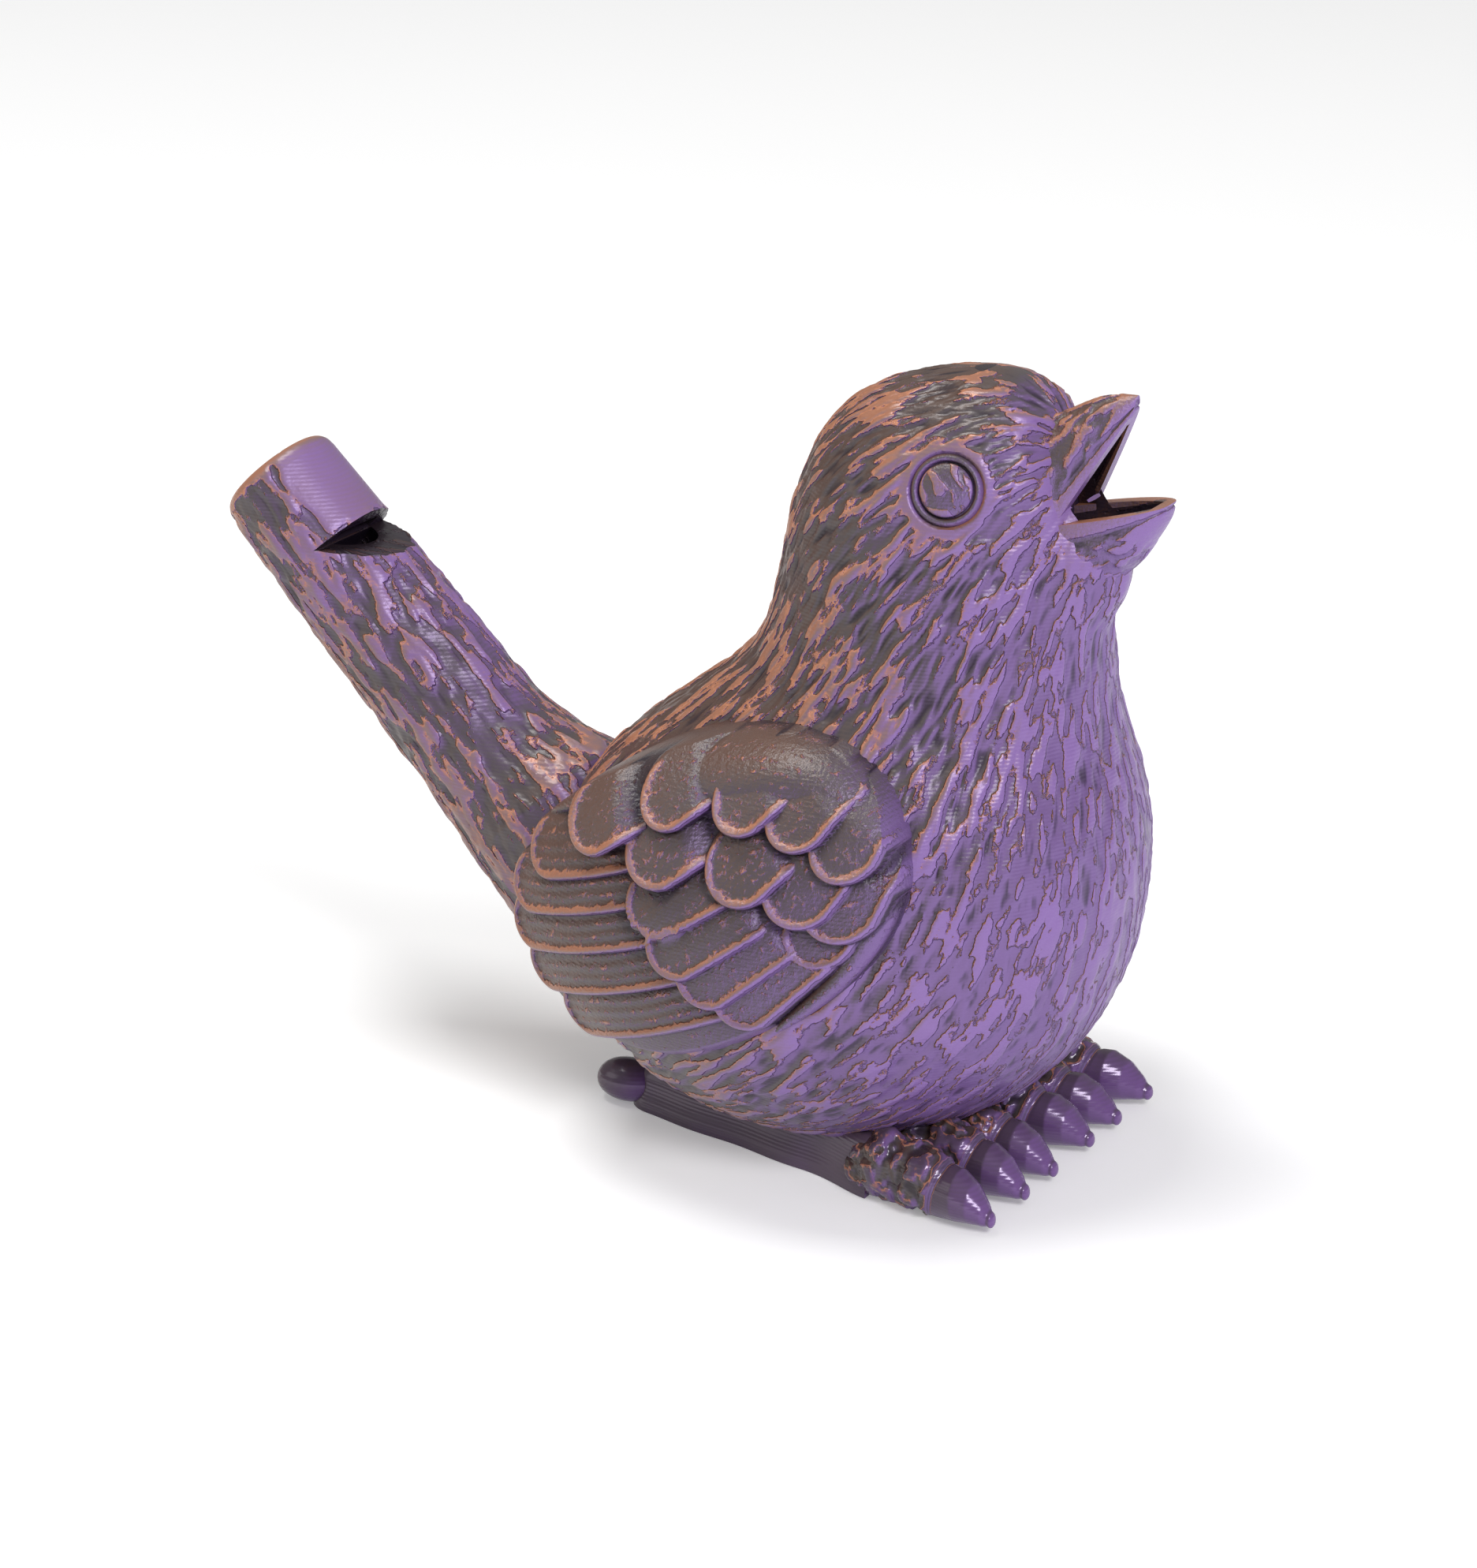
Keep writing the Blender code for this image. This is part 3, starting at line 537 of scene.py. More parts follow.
    @staticmethod
    def mix(tree: bpy.types.NodeTree, share: bpy.types.NodeSocket, first: bpy.types.NodeSocket,
            second: object) -> bpy.types.NodeSocket:
        """Mix two colours.

        Args:
            tree: The material's nodes.
            share: How much of the second colour shows.
            first: The first colour's socket.
            second: The second colour, or its socket.

        Returns:
            The colour's socket.
        """
        node = tree.nodes.new("ShaderNodeMix")
        node.data_type = "RGBA"
        tree.links.new(share, node.inputs["Factor"])
        tree.links.new(first, node.inputs["A"])
        SilkFinish.fill(tree, second, node.inputs["B"])
        return node.outputs["Result"]

    def noise(self, tree: bpy.types.NodeTree, place: bpy.types.NodeSocket, scale: float,
              roughness: float) -> bpy.types.NodeSocket:
        """Add a soft grain.

        Args:
            tree: The material's nodes.
            place: The socket of the place on the piece.
            scale: How many lumps a metre holds.
            roughness: How strong the finer lumps are.

        Returns:
            The grain's socket.
        """
        node = tree.nodes.new("ShaderNodeTexNoise")
        node.inputs["Scale"].default_value = scale
        node.inputs["Detail"].default_value = self.grain_detail
        node.inputs["Roughness"].default_value = roughness
        tree.links.new(place, node.inputs["Vector"])
        return node.outputs["Fac"]

    def relief(self, tree: bpy.types.NodeTree, place: bpy.types.NodeSocket, proud: bpy.types.NodeSocket,
               stipple: bpy.types.NodeSocket) -> bpy.types.NodeSocket:
        """Raise the barbs, the stipple and the fine layers of the print.

        Args:
            tree: The material's nodes.
            place: The socket of the place on the piece.
            proud: How proud the barbs stand.
            stipple: The stipple's grain.

        Returns:
            The socket of the way that the raised face looks.
        """
        split = tree.nodes.new("ShaderNodeSeparateXYZ")
        tree.links.new(place, split.inputs["Vector"])
        layers = self.maths(tree, "MULTIPLY", split.outputs["Z"], 2 * math.pi / self.layer_gap)
        layers = self.maths(tree, "SINE", layers)
        normal = None
        for height, reach in ((proud, self.barb_height), (stipple, self.stipple_height),
                              (layers, self.layer_height)):
            node = tree.nodes.new("ShaderNodeBump")
            node.inputs["Distance"].default_value = reach
            tree.links.new(height, node.inputs["Height"])
            self.fill(tree, normal, node.inputs["Normal"])
            normal = node.outputs["Normal"]
        return normal

    def turned(self, tree: bpy.types.NodeTree, normal: bpy.types.NodeSocket,
               mottle: bpy.types.NodeSocket) -> bpy.types.NodeSocket:
        """Work out how far a face looks to the plum side, with some drift.

        Args:
            tree: The material's nodes.
            normal: The way that the face looks.
            mottle: The grain that shifts the colours.

        Returns:
            The socket of the share, from 0 on the copper side to 1 on the plum side.
        """
        facing = tree.nodes.new("ShaderNodeVectorMath")
        facing.operation = "DOT_PRODUCT"
        facing.inputs[1].default_value = tuple(Vector(self.plum_side).normalized())
        tree.links.new(normal, facing.inputs[0])
        share = self.maths(tree, "MULTIPLY_ADD", facing.outputs["Value"], 0.5, 0.5)
        drift = self.maths(tree, "MULTIPLY_ADD", mottle, self.colour_drift, -self.colour_drift / 2)
        return self.maths(tree, "ADD", share, drift)

    def build(self) -> bpy.types.Material:
        """Make the material.

        Returns:
            The material, with its nodes.
        """
        material = bpy.data.materials.new(self.name)
        material.use_nodes = True
        tree = material.node_tree
        shader = tree.nodes["Principled BSDF"]
        place = tree.nodes.new("ShaderNodeTexCoord").outputs["Object"]
        barbs, hollow = self.attribute(tree, "barbs"), self.attribute(tree, "hollow")
        stipple = self.noise(tree, place, 1 / self.stipple_size, 0.6)
        mottle = self.noise(tree, place, self.mottle_scale, 0.5)

        height = self.maths(tree, "MULTIPLY_ADD", stipple, self.stipple_reach, -self.stipple_reach / 2)
        height = self.maths(tree, "ADD", height, barbs)
        proud = self.step(tree, height, *self.proud_step)
        inner = self.step(tree, height, *self.inner_step)
        edge = self.maths(tree, "SUBTRACT", proud, inner)
        normal = self.relief(tree, place, proud, stipple)
        turned = self.turned(tree, normal, mottle)

        low, high = self.ramp(tree, self.ground, turned), self.ramp(tree, self.proud, turned)
        # Painted highlight: barb edges on the copper side get a bright copper. This is partly the plastic's
        # own copper and partly painted light.
        away = self.step(tree, turned, *self.copper_step)
        painted_highlight = self.maths(tree, "MULTIPLY", self.maths(tree, "MULTIPLY", edge, away), self.edge_highlight)
        # Painted shade: deep gaps, read from low barbs, and the walls of hollows turn near black.
        painted_shade = self.maths(tree, "MULTIPLY", self.step(tree, barbs, *self.shade_step), self.pit_shade)
        colour = self.mix(tree, proud, low, high)
        colour = self.mix(tree, painted_highlight, colour, self.copper)
        colour = self.mix(tree, painted_shade, colour, self.painted_shade)
        colour = self.mix(tree, hollow, colour, self.painted_shade)
        least = self.roughness - self.gloss_drift / 2
        gloss = self.maths(tree, "MULTIPLY_ADD", mottle, self.gloss_drift, least)
        tree.links.new(colour, shader.inputs["Base Color"])
        tree.links.new(gloss, shader.inputs["Roughness"])
        tree.links.new(normal, shader.inputs["Normal"])
        shader.inputs["Metallic"].default_value = self.metallic
        shader.inputs["Specular IOR Level"].default_value = self.specular
        return material


@dataclass(frozen=True)
class FeatherSilk(SilkFinish):
    """The plastic of wings, beak and eyes: flatter barbs, a finer stipple and a browner ground."""

    name: str = "wing_silk"
    barb_height: float = 0.1 * MM
    stipple_height: float = 0.1 * MM
    stipple_size: float = 0.4 * MM
    # A weaker painted copper highlight on the barb edges.
    edge_highlight: float = 0.5
    ground: Sequence[tuple] = (
        (0.0, (0.16, 0.07, 0.04, 1)),
        (0.30, (0.125, 0.07, 0.054, 1)),
        (0.46, (0.095, 0.076, 0.078, 1)),
        (0.60, (0.11, 0.075, 0.12, 1)),
        (0.78, (0.19, 0.11, 0.30, 1)),
        (1.0, (0.21, 0.115, 0.35, 1)),
    )


@dataclass(frozen=True)
class HornSilk(SilkFinish):
    """The plastic of the feet: smooth and glossy, with darker proud colours than the other finishes."""

    name: str = "horn_silk"
    barb_height: float = 0.04 * MM
    stipple_height: float = 0.0
    roughness: float = 0.2
    proud: Sequence[tuple] = (
        (0.0, (0.10, 0.06, 0.075, 1)),
        (0.40, (0.095, 0.062, 0.10, 1)),
        (0.55, (0.12, 0.07, 0.15, 1)),
        (0.75, (0.17, 0.085, 0.26, 1)),
        (1.0, (0.21, 0.10, 0.33, 1)),
    )


class Assembly:
    """What every sub-assembly of the bird does with its pieces once they are built."""

    crease = math.radians(50)

    def dress(self, pieces: Sequence[bpy.types.Object], material: bpy.types.Material) -> list:
        """Give pieces their finish and hang them on the frame.

        Args:
            pieces: The finished pieces.
            material: Their material.

        Returns:
            The dressed pieces.
        """
        for piece in pieces:
            piece.data.materials.clear()
            piece.data.materials.append(material)
            piece.data.shade_smooth()
            piece.data.set_sharp_from_angle(angle=self.crease)
            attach(piece, "root")
            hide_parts("bird_whistle")
        return list(pieces)

    def dress_pairs(self, pieces: Sequence[bpy.types.Object], material: bpy.types.Material) -> list:
        """Give right pieces their left twins, and dress both.

        Args:
            pieces: The finished right pieces.
            material: Their material.

        Returns:
            The dressed pieces, right and left by turns.
        """
        dressed = []
        for piece in pieces:
            twin = MeshWork.mirrored(piece, piece.name.replace("right", "left"))
            dressed += self.dress((piece, twin), material)
        return dressed


@dataclass
class Flesh:
    """The blended eggs that give head and body their shape."""

    blend: float = 1.85 * MM
    eggs: Sequence[tuple] = (
        ((-1.75, 20.0), (49.0, 45.2, 38.8)),
        ((4.5, 27.9), (39.0, 39.0, 35.2)),
        ((7.5, 42.15), (27.8, 25.8, 38.6)),
        ((6.4, 54.4), (20.6, 20.4, 22.4)),
        ((12.5, 59.5), (12.4, 14.8, 14.0)),
    )
    ray: float = 49 * MM
    halvings: int = 22
    nudge: float = 0.05 * MM

    def middle(self, index: int) -> np.ndarray:
        """Return the middle of one egg."""
        x, z = self.eggs[index][0]
        return np.array((x, 0.0, z)) * MM

    def depth(self, points: np.ndarray) -> np.ndarray:
        """Return how far each point lies outside the skin; inside is negative.

        Args:
            points: Places in metres, with the three coordinates last.

        Returns:
            One distance per point.
        """
        gaps = []
        for index, (_, size) in enumerate(self.eggs):
            half = np.array(size) * MM / 2
            scaled = (points - self.middle(index)) / half
            near = np.sqrt((scaled ** 2).sum(axis=-1)) + 1e-9
            steep = np.sqrt(((scaled / half) ** 2).sum(axis=-1)) + 1e-9
            gaps.append(near * (near - 1) / steep)
        stack = np.array(gaps)
        nearest = stack.min(axis=0)
        return nearest - self.blend * np.log(np.exp((nearest - stack) / self.blend).sum(axis=0))

    def reach(self, starts: np.ndarray, directions: np.ndarray) -> np.ndarray:
        """Return how far each ray from inside runs to the skin.

        Args:
            starts: Where the rays start, inside the flesh.
            directions: Which way they run.

        Returns:
            One distance per ray.
        """
        low = np.zeros(starts.shape[:-1])
        high = np.full(starts.shape[:-1], self.ray)
        for _ in range(self.halvings):
            middle = (low + high) / 2
            inside = self.depth(starts + directions * middle[..., None]) < 0
            low = np.where(inside, middle, low)
            high = np.where(inside, high, middle)
        return low

    def outward(self, points: np.ndarray) -> np.ndarray:
        """Return the direction that leaves the flesh at each point.

        Args:
            points: Places in metres, with the three coordinates last.

        Returns:
            One direction per point.
        """
        slopes = [self.depth(points + step) - self.depth(points - step) for step in np.eye(3) * self.nudge]
        return unit(np.stack(slopes, axis=-1))

    def flank(self, x: float, z: float) -> tuple:
        """Return a point of the right flank and the direction that leaves it.

        Args:
            x: How far ahead it lies, in metres.
            z: How high it lies, in metres.

        Returns:
            The point and the direction.
        """
        run = self.reach(np.array(((x, 0.0, z),)), np.array(((0.0, -1.0, 0.0),)))
        point = np.array((x, -float(run[0]), z))
        return point, self.outward(point[None])[0]


@dataclass
class Eye(Assembly):
    """A domed eye in a ring groove with a thin lid ring."""

    flesh: Flesh
    forward: float = 12.25 * MM
    rise: float = 59.4 * MM
    radius: float = 2.1 * MM
    outer: float = 2.95 * MM
    press_depth: float = 0.7 * MM
    press_edge: float = 0.35 * MM
    bare_reach: float = 1.3 * MM
    dome_base: float = -0.1 * MM
    dome_height: float = 0.62 * MM
    barb_relief: float = 0.05 * MM
    segments: int = 96
    dome_rings: int = 30
    ring_profile: Sequence[tuple] = (
        (3.0, -2.2), (3.0, -0.75), (2.86, -0.62), (2.78, -0.3), (2.7, -0.06), (2.58, 0.03),
        (2.44, 0.03), (2.34, -0.06), (2.27, -0.34), (2.2, -0.52), (2.12, -0.5), (2.06, -0.2),
    )

    def frame(self) -> tuple:
        """Return the eye's middle, the way it looks, and two directions across it.

        Returns:
            The middle and three directions.
        """
        middle, out = self.flesh.flank(self.forward, self.rise)
        side = unit(np.cross(out, UP))
        return middle, out, side, np.cross(side, out)

    def press(self, points: np.ndarray) -> np.ndarray:
        """Return how much the eye's ground is pressed in, on both sides of the head.

        Args:
            points: Places in metres, with the three coordinates last.

        Returns:
            One depth per point.
        """
        folded = np.where(points[..., 1:2] > 0, points * np.array((1, -1, 1)), points)
        middle, out, side, up = self.frame()
        offset = folded - middle
        across = np.sqrt((offset @ side) ** 2 + (offset @ up) ** 2)
        near = np.abs(offset @ out) < 4 * MM
        return near * self.press_depth * smooth(self.outer + 0.15 * MM - across, 0.0, self.press_edge)

    def near(self, points: np.ndarray) -> np.ndarray:
        """Return 1 on the bare skin round the eye, falling to 0 away from it.

        Args:
            points: Places in metres, with the three coordinates last.

        Returns:
            One share per point.
        """
        folded = np.where(points[..., 1:2] > 0, points * np.array((1, -1, 1)), points)
        middle = self.frame()[0]
        gap = np.linalg.norm(folded - middle, axis=-1)
        return smooth(self.outer + self.bare_reach - gap, 0.0, 0.9 * MM)

    def build(self) -> bpy.types.Object:
        """Make the right eye's dome, its groove and its lid ring as one skin.

        Returns:
            The eye.
        """
        middle, out, side, up = self.frame()
        rings = [MeshWork.circle(middle + out * lift * MM, width * MM, side, up, self.segments)
                 for width, lift in self.ring_profile]
        for slope in np.linspace(0.08, math.pi / 2, self.dome_rings, endpoint=False):
            top = middle + out * (self.dome_base + self.dome_height * math.sin(slope))
            rings.append(MeshWork.circle(top, self.radius * math.cos(slope), side, up, self.segments))
        points = np.array(rings)
        flow = np.broadcast_to(unit(np.array((0.45, 0.0, -0.9))), points.shape)
        strands = Strands(points, flow).draw(Grain(31, 0.5 * MM), 1.8 * MM)
        dome = np.zeros(points.shape[:2])
        dome[len(self.ring_profile):] = 1.0
        barbs = np.where(dome > 0, 0.1 + 0.5 * np.tanh(1.6 * strands), GROUND)
        # The rings of the two grooves get low barbs, so painted shade darkens them.
        barbs[2] = barbs[8:11] = -1.0
        points = points + out * (self.barb_relief * np.tanh(2.2 * strands) * dome)[..., None]
        tip = middle + out * (self.dome_base + self.dome_height)
        return MeshWork.skin("right_eye", points, last=tip, barbs=barbs)


@dataclass
class Body(Assembly):
    """Head and body in one skin, carved with barbs that flow back from the beak."""

    flesh: Flesh
    eye: Eye
    segments: int = 500
    rings: int = 366
    seam: int = 190
    seam_cone: float = 4 * MM
    carve: float = 0.2 * MM
    brow_setback: float = 2.03 * MM
    crown_length: float = 20.6
    pole_share: float = 0.12
    fade_share: float = 0.03
    face_start: float = 3.0 * MM
    face_end: float = 8.5 * MM
    mouth_front: float = 8 * MM
    mouth_foot: float = 38 * MM
    face_floor: float = 0.25
    chest_range: tuple = (0.35, 0.95)
    chest_calm: float = 0.35
    chest_proud: float = 0.1
    bare_proud: float = 0.75
    back_lean: float = 0.15
    belly_lean: float = 0.9
    lean_level: float = 34 * MM
    lean_depth: float = 20 * MM
    fall: float = 0.75
    relief_bias: float = 0.16
    proud_bias: float = 0.04
    barb_layers: Sequence[BarbLayer] = (
        BarbLayer(7, 0.82, 5.4, 8, 0.45, 1.6),
        BarbLayer(8, 0.48, 3.2, 7, 0.5, 1.5),
        BarbLayer(9, 0.3, 2.4, 6, 0.36, 1.0),
    )
    beak_root: np.ndarray = field(default_factory=lambda: np.array((20.5, 0.0, 57.0)) * MM)
    points: np.ndarray = field(init=False, repr=False)
    barbs: np.ndarray = field(init=False, repr=False)

    def spine(self, heights: np.ndarray) -> np.ndarray:
        """Return the X of a line that stays inside the body from belly to crown.

        Args:
            heights: Levels in metres.

        Returns:
            One X per level.
        """
        levels = [self.flesh.middle(index)[2] for index in range(5)]
        places = [self.flesh.middle(index)[0] for index in range(4)]
        places.append(self.flesh.middle(4)[0] - self.brow_setback)
        return np.interp(heights, levels, places)

    def pole(self, upward: bool) -> np.ndarray:
        """Return the highest or the lowest point of the skin on the mid plane.

        Args:
            upward: Whether the highest is wanted.

        Returns:
            The point.
        """
        start = self.flesh.middle(3 if upward else 0)
        xs = start[0] + np.linspace(-0.4, 0.4, 81) * self.crown_length * MM
        starts = np.stack([xs, np.zeros_like(xs), np.full_like(xs, start[2])], axis=-1)
        sense = 1.0 if upward else -1.0
        run = self.flesh.reach(starts, np.array((0.0, 0.0, sense)))
        best = int(np.argmax(run))
        return np.array((xs[best], 0.0, start[2] + sense * run[best]))

    def bare_skin(self) -> tuple:
        """Return the uncarved rings and the two poles.

        Returns:
            The rings, the lowest point and the highest point.
        """
        low, high = self.pole(False), self.pole(True)
        share = (1 - np.cos(np.linspace(0, np.pi, self.rings + 2)[1:-1])) / 2
        share = 0.45 * share + 0.55 * np.linspace(0, 1, self.rings + 2)[1:-1]
        heights = low[2] + share * (high[2] - low[2])
        near_low = np.clip(share / self.pole_share, 0, 1)
        near_high = np.clip((1 - share) / self.pole_share, 0, 1)
        xs = self.spine(heights)
        xs = near_low * xs + (1 - near_low) * low[0]
        xs = near_high * xs + (1 - near_high) * high[0]
        starts = np.stack([xs, np.zeros_like(xs), heights], axis=-1)
        ahead = self.flesh.reach(starts, np.array((1.0, 0.0, 0.0)))
        behind = self.flesh.reach(starts, np.array((-1.0, 0.0, 0.0)))
        starts[:, 0] += (ahead - behind) / 2
        turn = np.linspace(0, 2 * np.pi, self.segments, endpoint=False)
        outward = np.stack([np.cos(turn), np.sin(turn), np.zeros_like(turn)], axis=-1)
        starts = np.repeat(starts[:, None], self.segments, axis=1)
        run = self.flesh.reach(starts, np.broadcast_to(outward, starts.shape))
        return starts + outward * run[..., None], low, high

    def flow(self, points: np.ndarray, normals: np.ndarray) -> np.ndarray:
        """Return the way the plumage lies: back from the beak, and downward under gravity.

        Args:
            points: The skin's rings.
            normals: The way that leaves it at each point.

        Returns:
            One direction per point.
        """
        away = unit(points - self.beak_root)
        low = smooth(self.lean_level - points[..., 2], 0.0, self.lean_depth)
        back = self.back_lean + self.belly_lean * low
        fall = np.stack([-back, np.zeros_like(back), np.full_like(back, -self.fall)], axis=-1)
        lie = away + fall
        lie = lie - (lie * normals).sum(-1, keepdims=True) * normals
        return unit(lie)

    def build(self) -> tuple:
        """Make the carved skin.

        Returns:
            The body below the neck and the head above it.
        """
        points, low, high = self.bare_skin()
        normals = self.flesh.outward(points)
        flow = self.flow(points, normals)
        relief = Strands(points, flow).relief(self.barb_layers) - self.relief_bias
        share = np.linspace(0, 1, self.rings)[:, None]
        fade = smooth(share, 0.0, self.fade_share) * smooth(1 - share, 0.0, self.fade_share)
        face = smooth(np.linalg.norm(points - self.beak_root, axis=-1), self.face_start, self.face_end)
        face = (self.face_floor + (1 - self.face_floor) * face) * (1 - self.eye.near(points))
        ahead = smooth(normals[..., 0] - 0.25 * normals[..., 2], *self.chest_range)
        lift = self.carve * relief * fade * face * (1 - self.chest_calm * ahead) - self.eye.press(points)
        self.points = points + normals * lift[..., None]
        self.barbs = relief * face + self.bare_proud * (1 - face) + self.chest_proud * ahead - self.proud_bias
        seam = self.points[self.seam].mean(axis=0)
        lower = MeshWork.skin("carved_body", self.points[:self.seam + 1], low, seam - UP * self.seam_cone,
                              self.barbs[:self.seam + 1])
        upper = MeshWork.skin("carved_head", self.points[self.seam:], seam + UP * self.seam_cone, high,
                              self.barbs[self.seam:])
        return lower, upper

    def finish(self, piece: bpy.types.Object) -> None:
        """Give the cut head its barbs again, and paint shade on the walls of the mouth and throat.

        Args:
            piece: The head after its cuts.
        """
        MeshWork.restore(piece, self.points[self.seam:], self.barbs[self.seam:],
                         lambda spot: spot.x > self.mouth_front and spot.z > self.mouth_foot)


@dataclass
class Tail(Assembly):
    """The raised tail, which is the mouthpiece, with its breath slot, window and bark of barbs."""

    rump: np.ndarray
    angle: float = math.radians(44.8)
    reach: float = 60.2 * MM
    drop: float = 19.5 * MM
    length: float = 51.5 * MM
    mouth_radius: float = 5.4 * MM
    root_radius: float = 6.7 * MM
    taper: float = 44.0 * MM
    rim: float = 1.3 * MM
    swell: float = 1.5 * MM
    swell_start: float = 27.0 * MM
    swell_end: float = 38.0 * MM
    window: float = 8.9 * MM
    window_floor: float = 2.1 * MM
    ramp: float = math.radians(40.0)
    slot_width: float = 5.6 * MM
    slot_height: float = 1.5 * MM
    slot_rise: float = 3.0 * MM
    bore: float = 7.4 * MM
    lip: float = 0.2 * MM
    carve: float = 0.2 * MM
    wall_depth: float = 0.6 * MM
    segments: int = 150
    stations: int = 300
    strip_edge: tuple = (0.6, 0.74)
    strip_proud: float = 0.9
    bark_start: tuple = (0.2 * MM, 1.4 * MM)
    bark_bias: float = 0.08
    barb_layers: Sequence[BarbLayer] = (
        BarbLayer(17, 0.95, 5.5, 7, 0.5, 1.8),
        BarbLayer(18, 0.5, 3.0, 7, 0.48, 1.3),
        BarbLayer(19, 0.3, 2.4, 6, 0.34, 1.0),
    )
    root_rings: Sequence[tuple] = ((2.0, 0.92, 1.8), (3.6, 0.72, 2.4), (4.6, 0.45, 2.8))
    down: np.ndarray = field(init=False)
    up: np.ndarray = field(init=False)
    tip: np.ndarray = field(init=False)
    barbs: np.ndarray = field(init=False, repr=False)

    def __post_init__(self) -> None:
        """Work out the tail's directions and its tip."""
        self.down = np.array((math.cos(self.angle), 0.0, -math.sin(self.angle)))
        self.up = np.array((math.sin(self.angle), 0.0, math.cos(self.angle)))
        self.tip = self.rump - self.up * self.drop - self.down * self.reach

    def point(self, along: float, above: float = 0.0) -> np.ndarray:
        """Return a point so far down the tail and so far above its axis."""
        return self.tip + self.down * along + self.up * above

    def radius(self, along: float) -> float:
        """Return the tail's radius, which widens from mouthpiece to root."""
        share = min(1.0, max(0.0, along / self.taper))
        return self.mouth_radius + (self.root_radius - self.mouth_radius) * share

    def swelling(self, along: float) -> float:
        """Return how far the upper side rises where the tail runs into the back."""
        share = min(1.0, max(0.0, (along - self.swell_start) / (self.swell_end - self.swell_start)))
        return self.swell * share ** 2

    def blank(self) -> np.ndarray:
        """Return the rings of the uncut tube, carved along its length.

        Returns:
            Rings by segments by coordinates.
        """
        rings = []
        for slope in np.radians(np.linspace(4, 90, 12)):
            radius = self.radius(0) - self.rim * (1 - math.sin(slope))
            middle = self.point(self.rim * (1 - math.cos(slope)))
            rings.append(MeshWork.circle(middle, radius, ACROSS, self.up, self.segments))
        for along in np.linspace(self.rim * 1.15, self.length, self.stations):
            swell = self.swelling(along)
            middle = self.point(along, swell)
            rings.append(MeshWork.circle(middle, self.radius(along) + swell, ACROSS, self.up, self.segments))
        end = self.radius(self.length)
        for beyond, share, above in self.root_rings:
            middle = self.point(self.length + beyond * MM, above * MM)
            rings.append(MeshWork.circle(middle, end * share, ACROSS, self.up, self.segments))
        return np.array(rings)

    def carved(self, points: np.ndarray) -> np.ndarray:
        """Return the tube's rings with bark, which a smooth strip interrupts on top of the mouthpiece.

        Args:
            points: The plain rings.

        Returns:
            The carved rings.
        """
        normals = MeshWork.outward(points)
        relief = Strands(points, np.broadcast_to(self.down, points.shape)).relief(self.barb_layers)
        along = ((points - self.tip) @ self.down)
        above = ((points - self.tip) @ self.up) / self.mouth_radius
        strip = smooth(above, *self.strip_edge) * smooth(self.window + 0.5 * MM - along, 0.0, 1.5 * MM)
        fade = (1 - strip) * smooth(along, *self.bark_start)
        self.barbs = (relief + self.bark_bias) * fade + self.strip_proud * (1 - fade)
        return points + normals * (self.carve * relief * fade)[..., None]

    def build(self) -> bpy.types.Object:
        """Make the tail and cut its window, its slot and its bore.

        Returns:
            The tail.
        """
        points = self.carved(self.blank())
        tail = MeshWork.skin("tail", points)
        bore = np.array([MeshWork.circle(self.point(along), self.bore / 2, ACROSS, self.up, 72)
                         for along in np.linspace(self.window + self.lip, self.length - 2 * MM, 8)])
        MeshWork.combine(tail, MeshWork.skin("bore", bore), Join.CUT)
        MeshWork.combine(tail, self.window_tool(), Join.CUT)
        MeshWork.combine(tail, self.slot_tool(), Join.CUT)
        tip, down = Vector(self.tip), Vector(self.down)
        # The barbs come back, and the walls of the bore, window and slot get painted shade.
        MeshWork.restore(tail, points, self.barbs, lambda spot: (spot - tip).dot(down) > self.wall_depth)
        return tail

    def window_tool(self) -> bpy.types.Object:
        """Return the cutter of the window: a square face and a sloping ramp.

        Returns:
            The cutter.
        """
        top = self.radius(self.window) * 1.4
        run = (top - self.window_floor) / math.tan(self.ramp)
        corners = np.array([self.point(self.window, self.window_floor), self.point(self.window, top),
                            self.point(self.window + run, top)])
        half = ACROSS * 2 * self.mouth_radius
        return MeshWork.skin("window", np.array([corners - half, corners + half]))

    def slot_tool(self) -> bpy.types.Object:
        """Return the cutter of the breath slot.

        Returns:
            The cutter.
        """
        rings = []
        for along in (-self.rim, self.window + self.lip / 2):
            ring = []
            for side, rise in ((-1, -1), (1, -1), (1, 1), (-1, 1)):
                middle = self.point(along, self.slot_rise + rise * self.slot_height / 2)
                ring.append(middle + ACROSS * side * self.slot_width / 2)
            rings.append(ring)
        return MeshWork.skin("slot", np.array(rings))


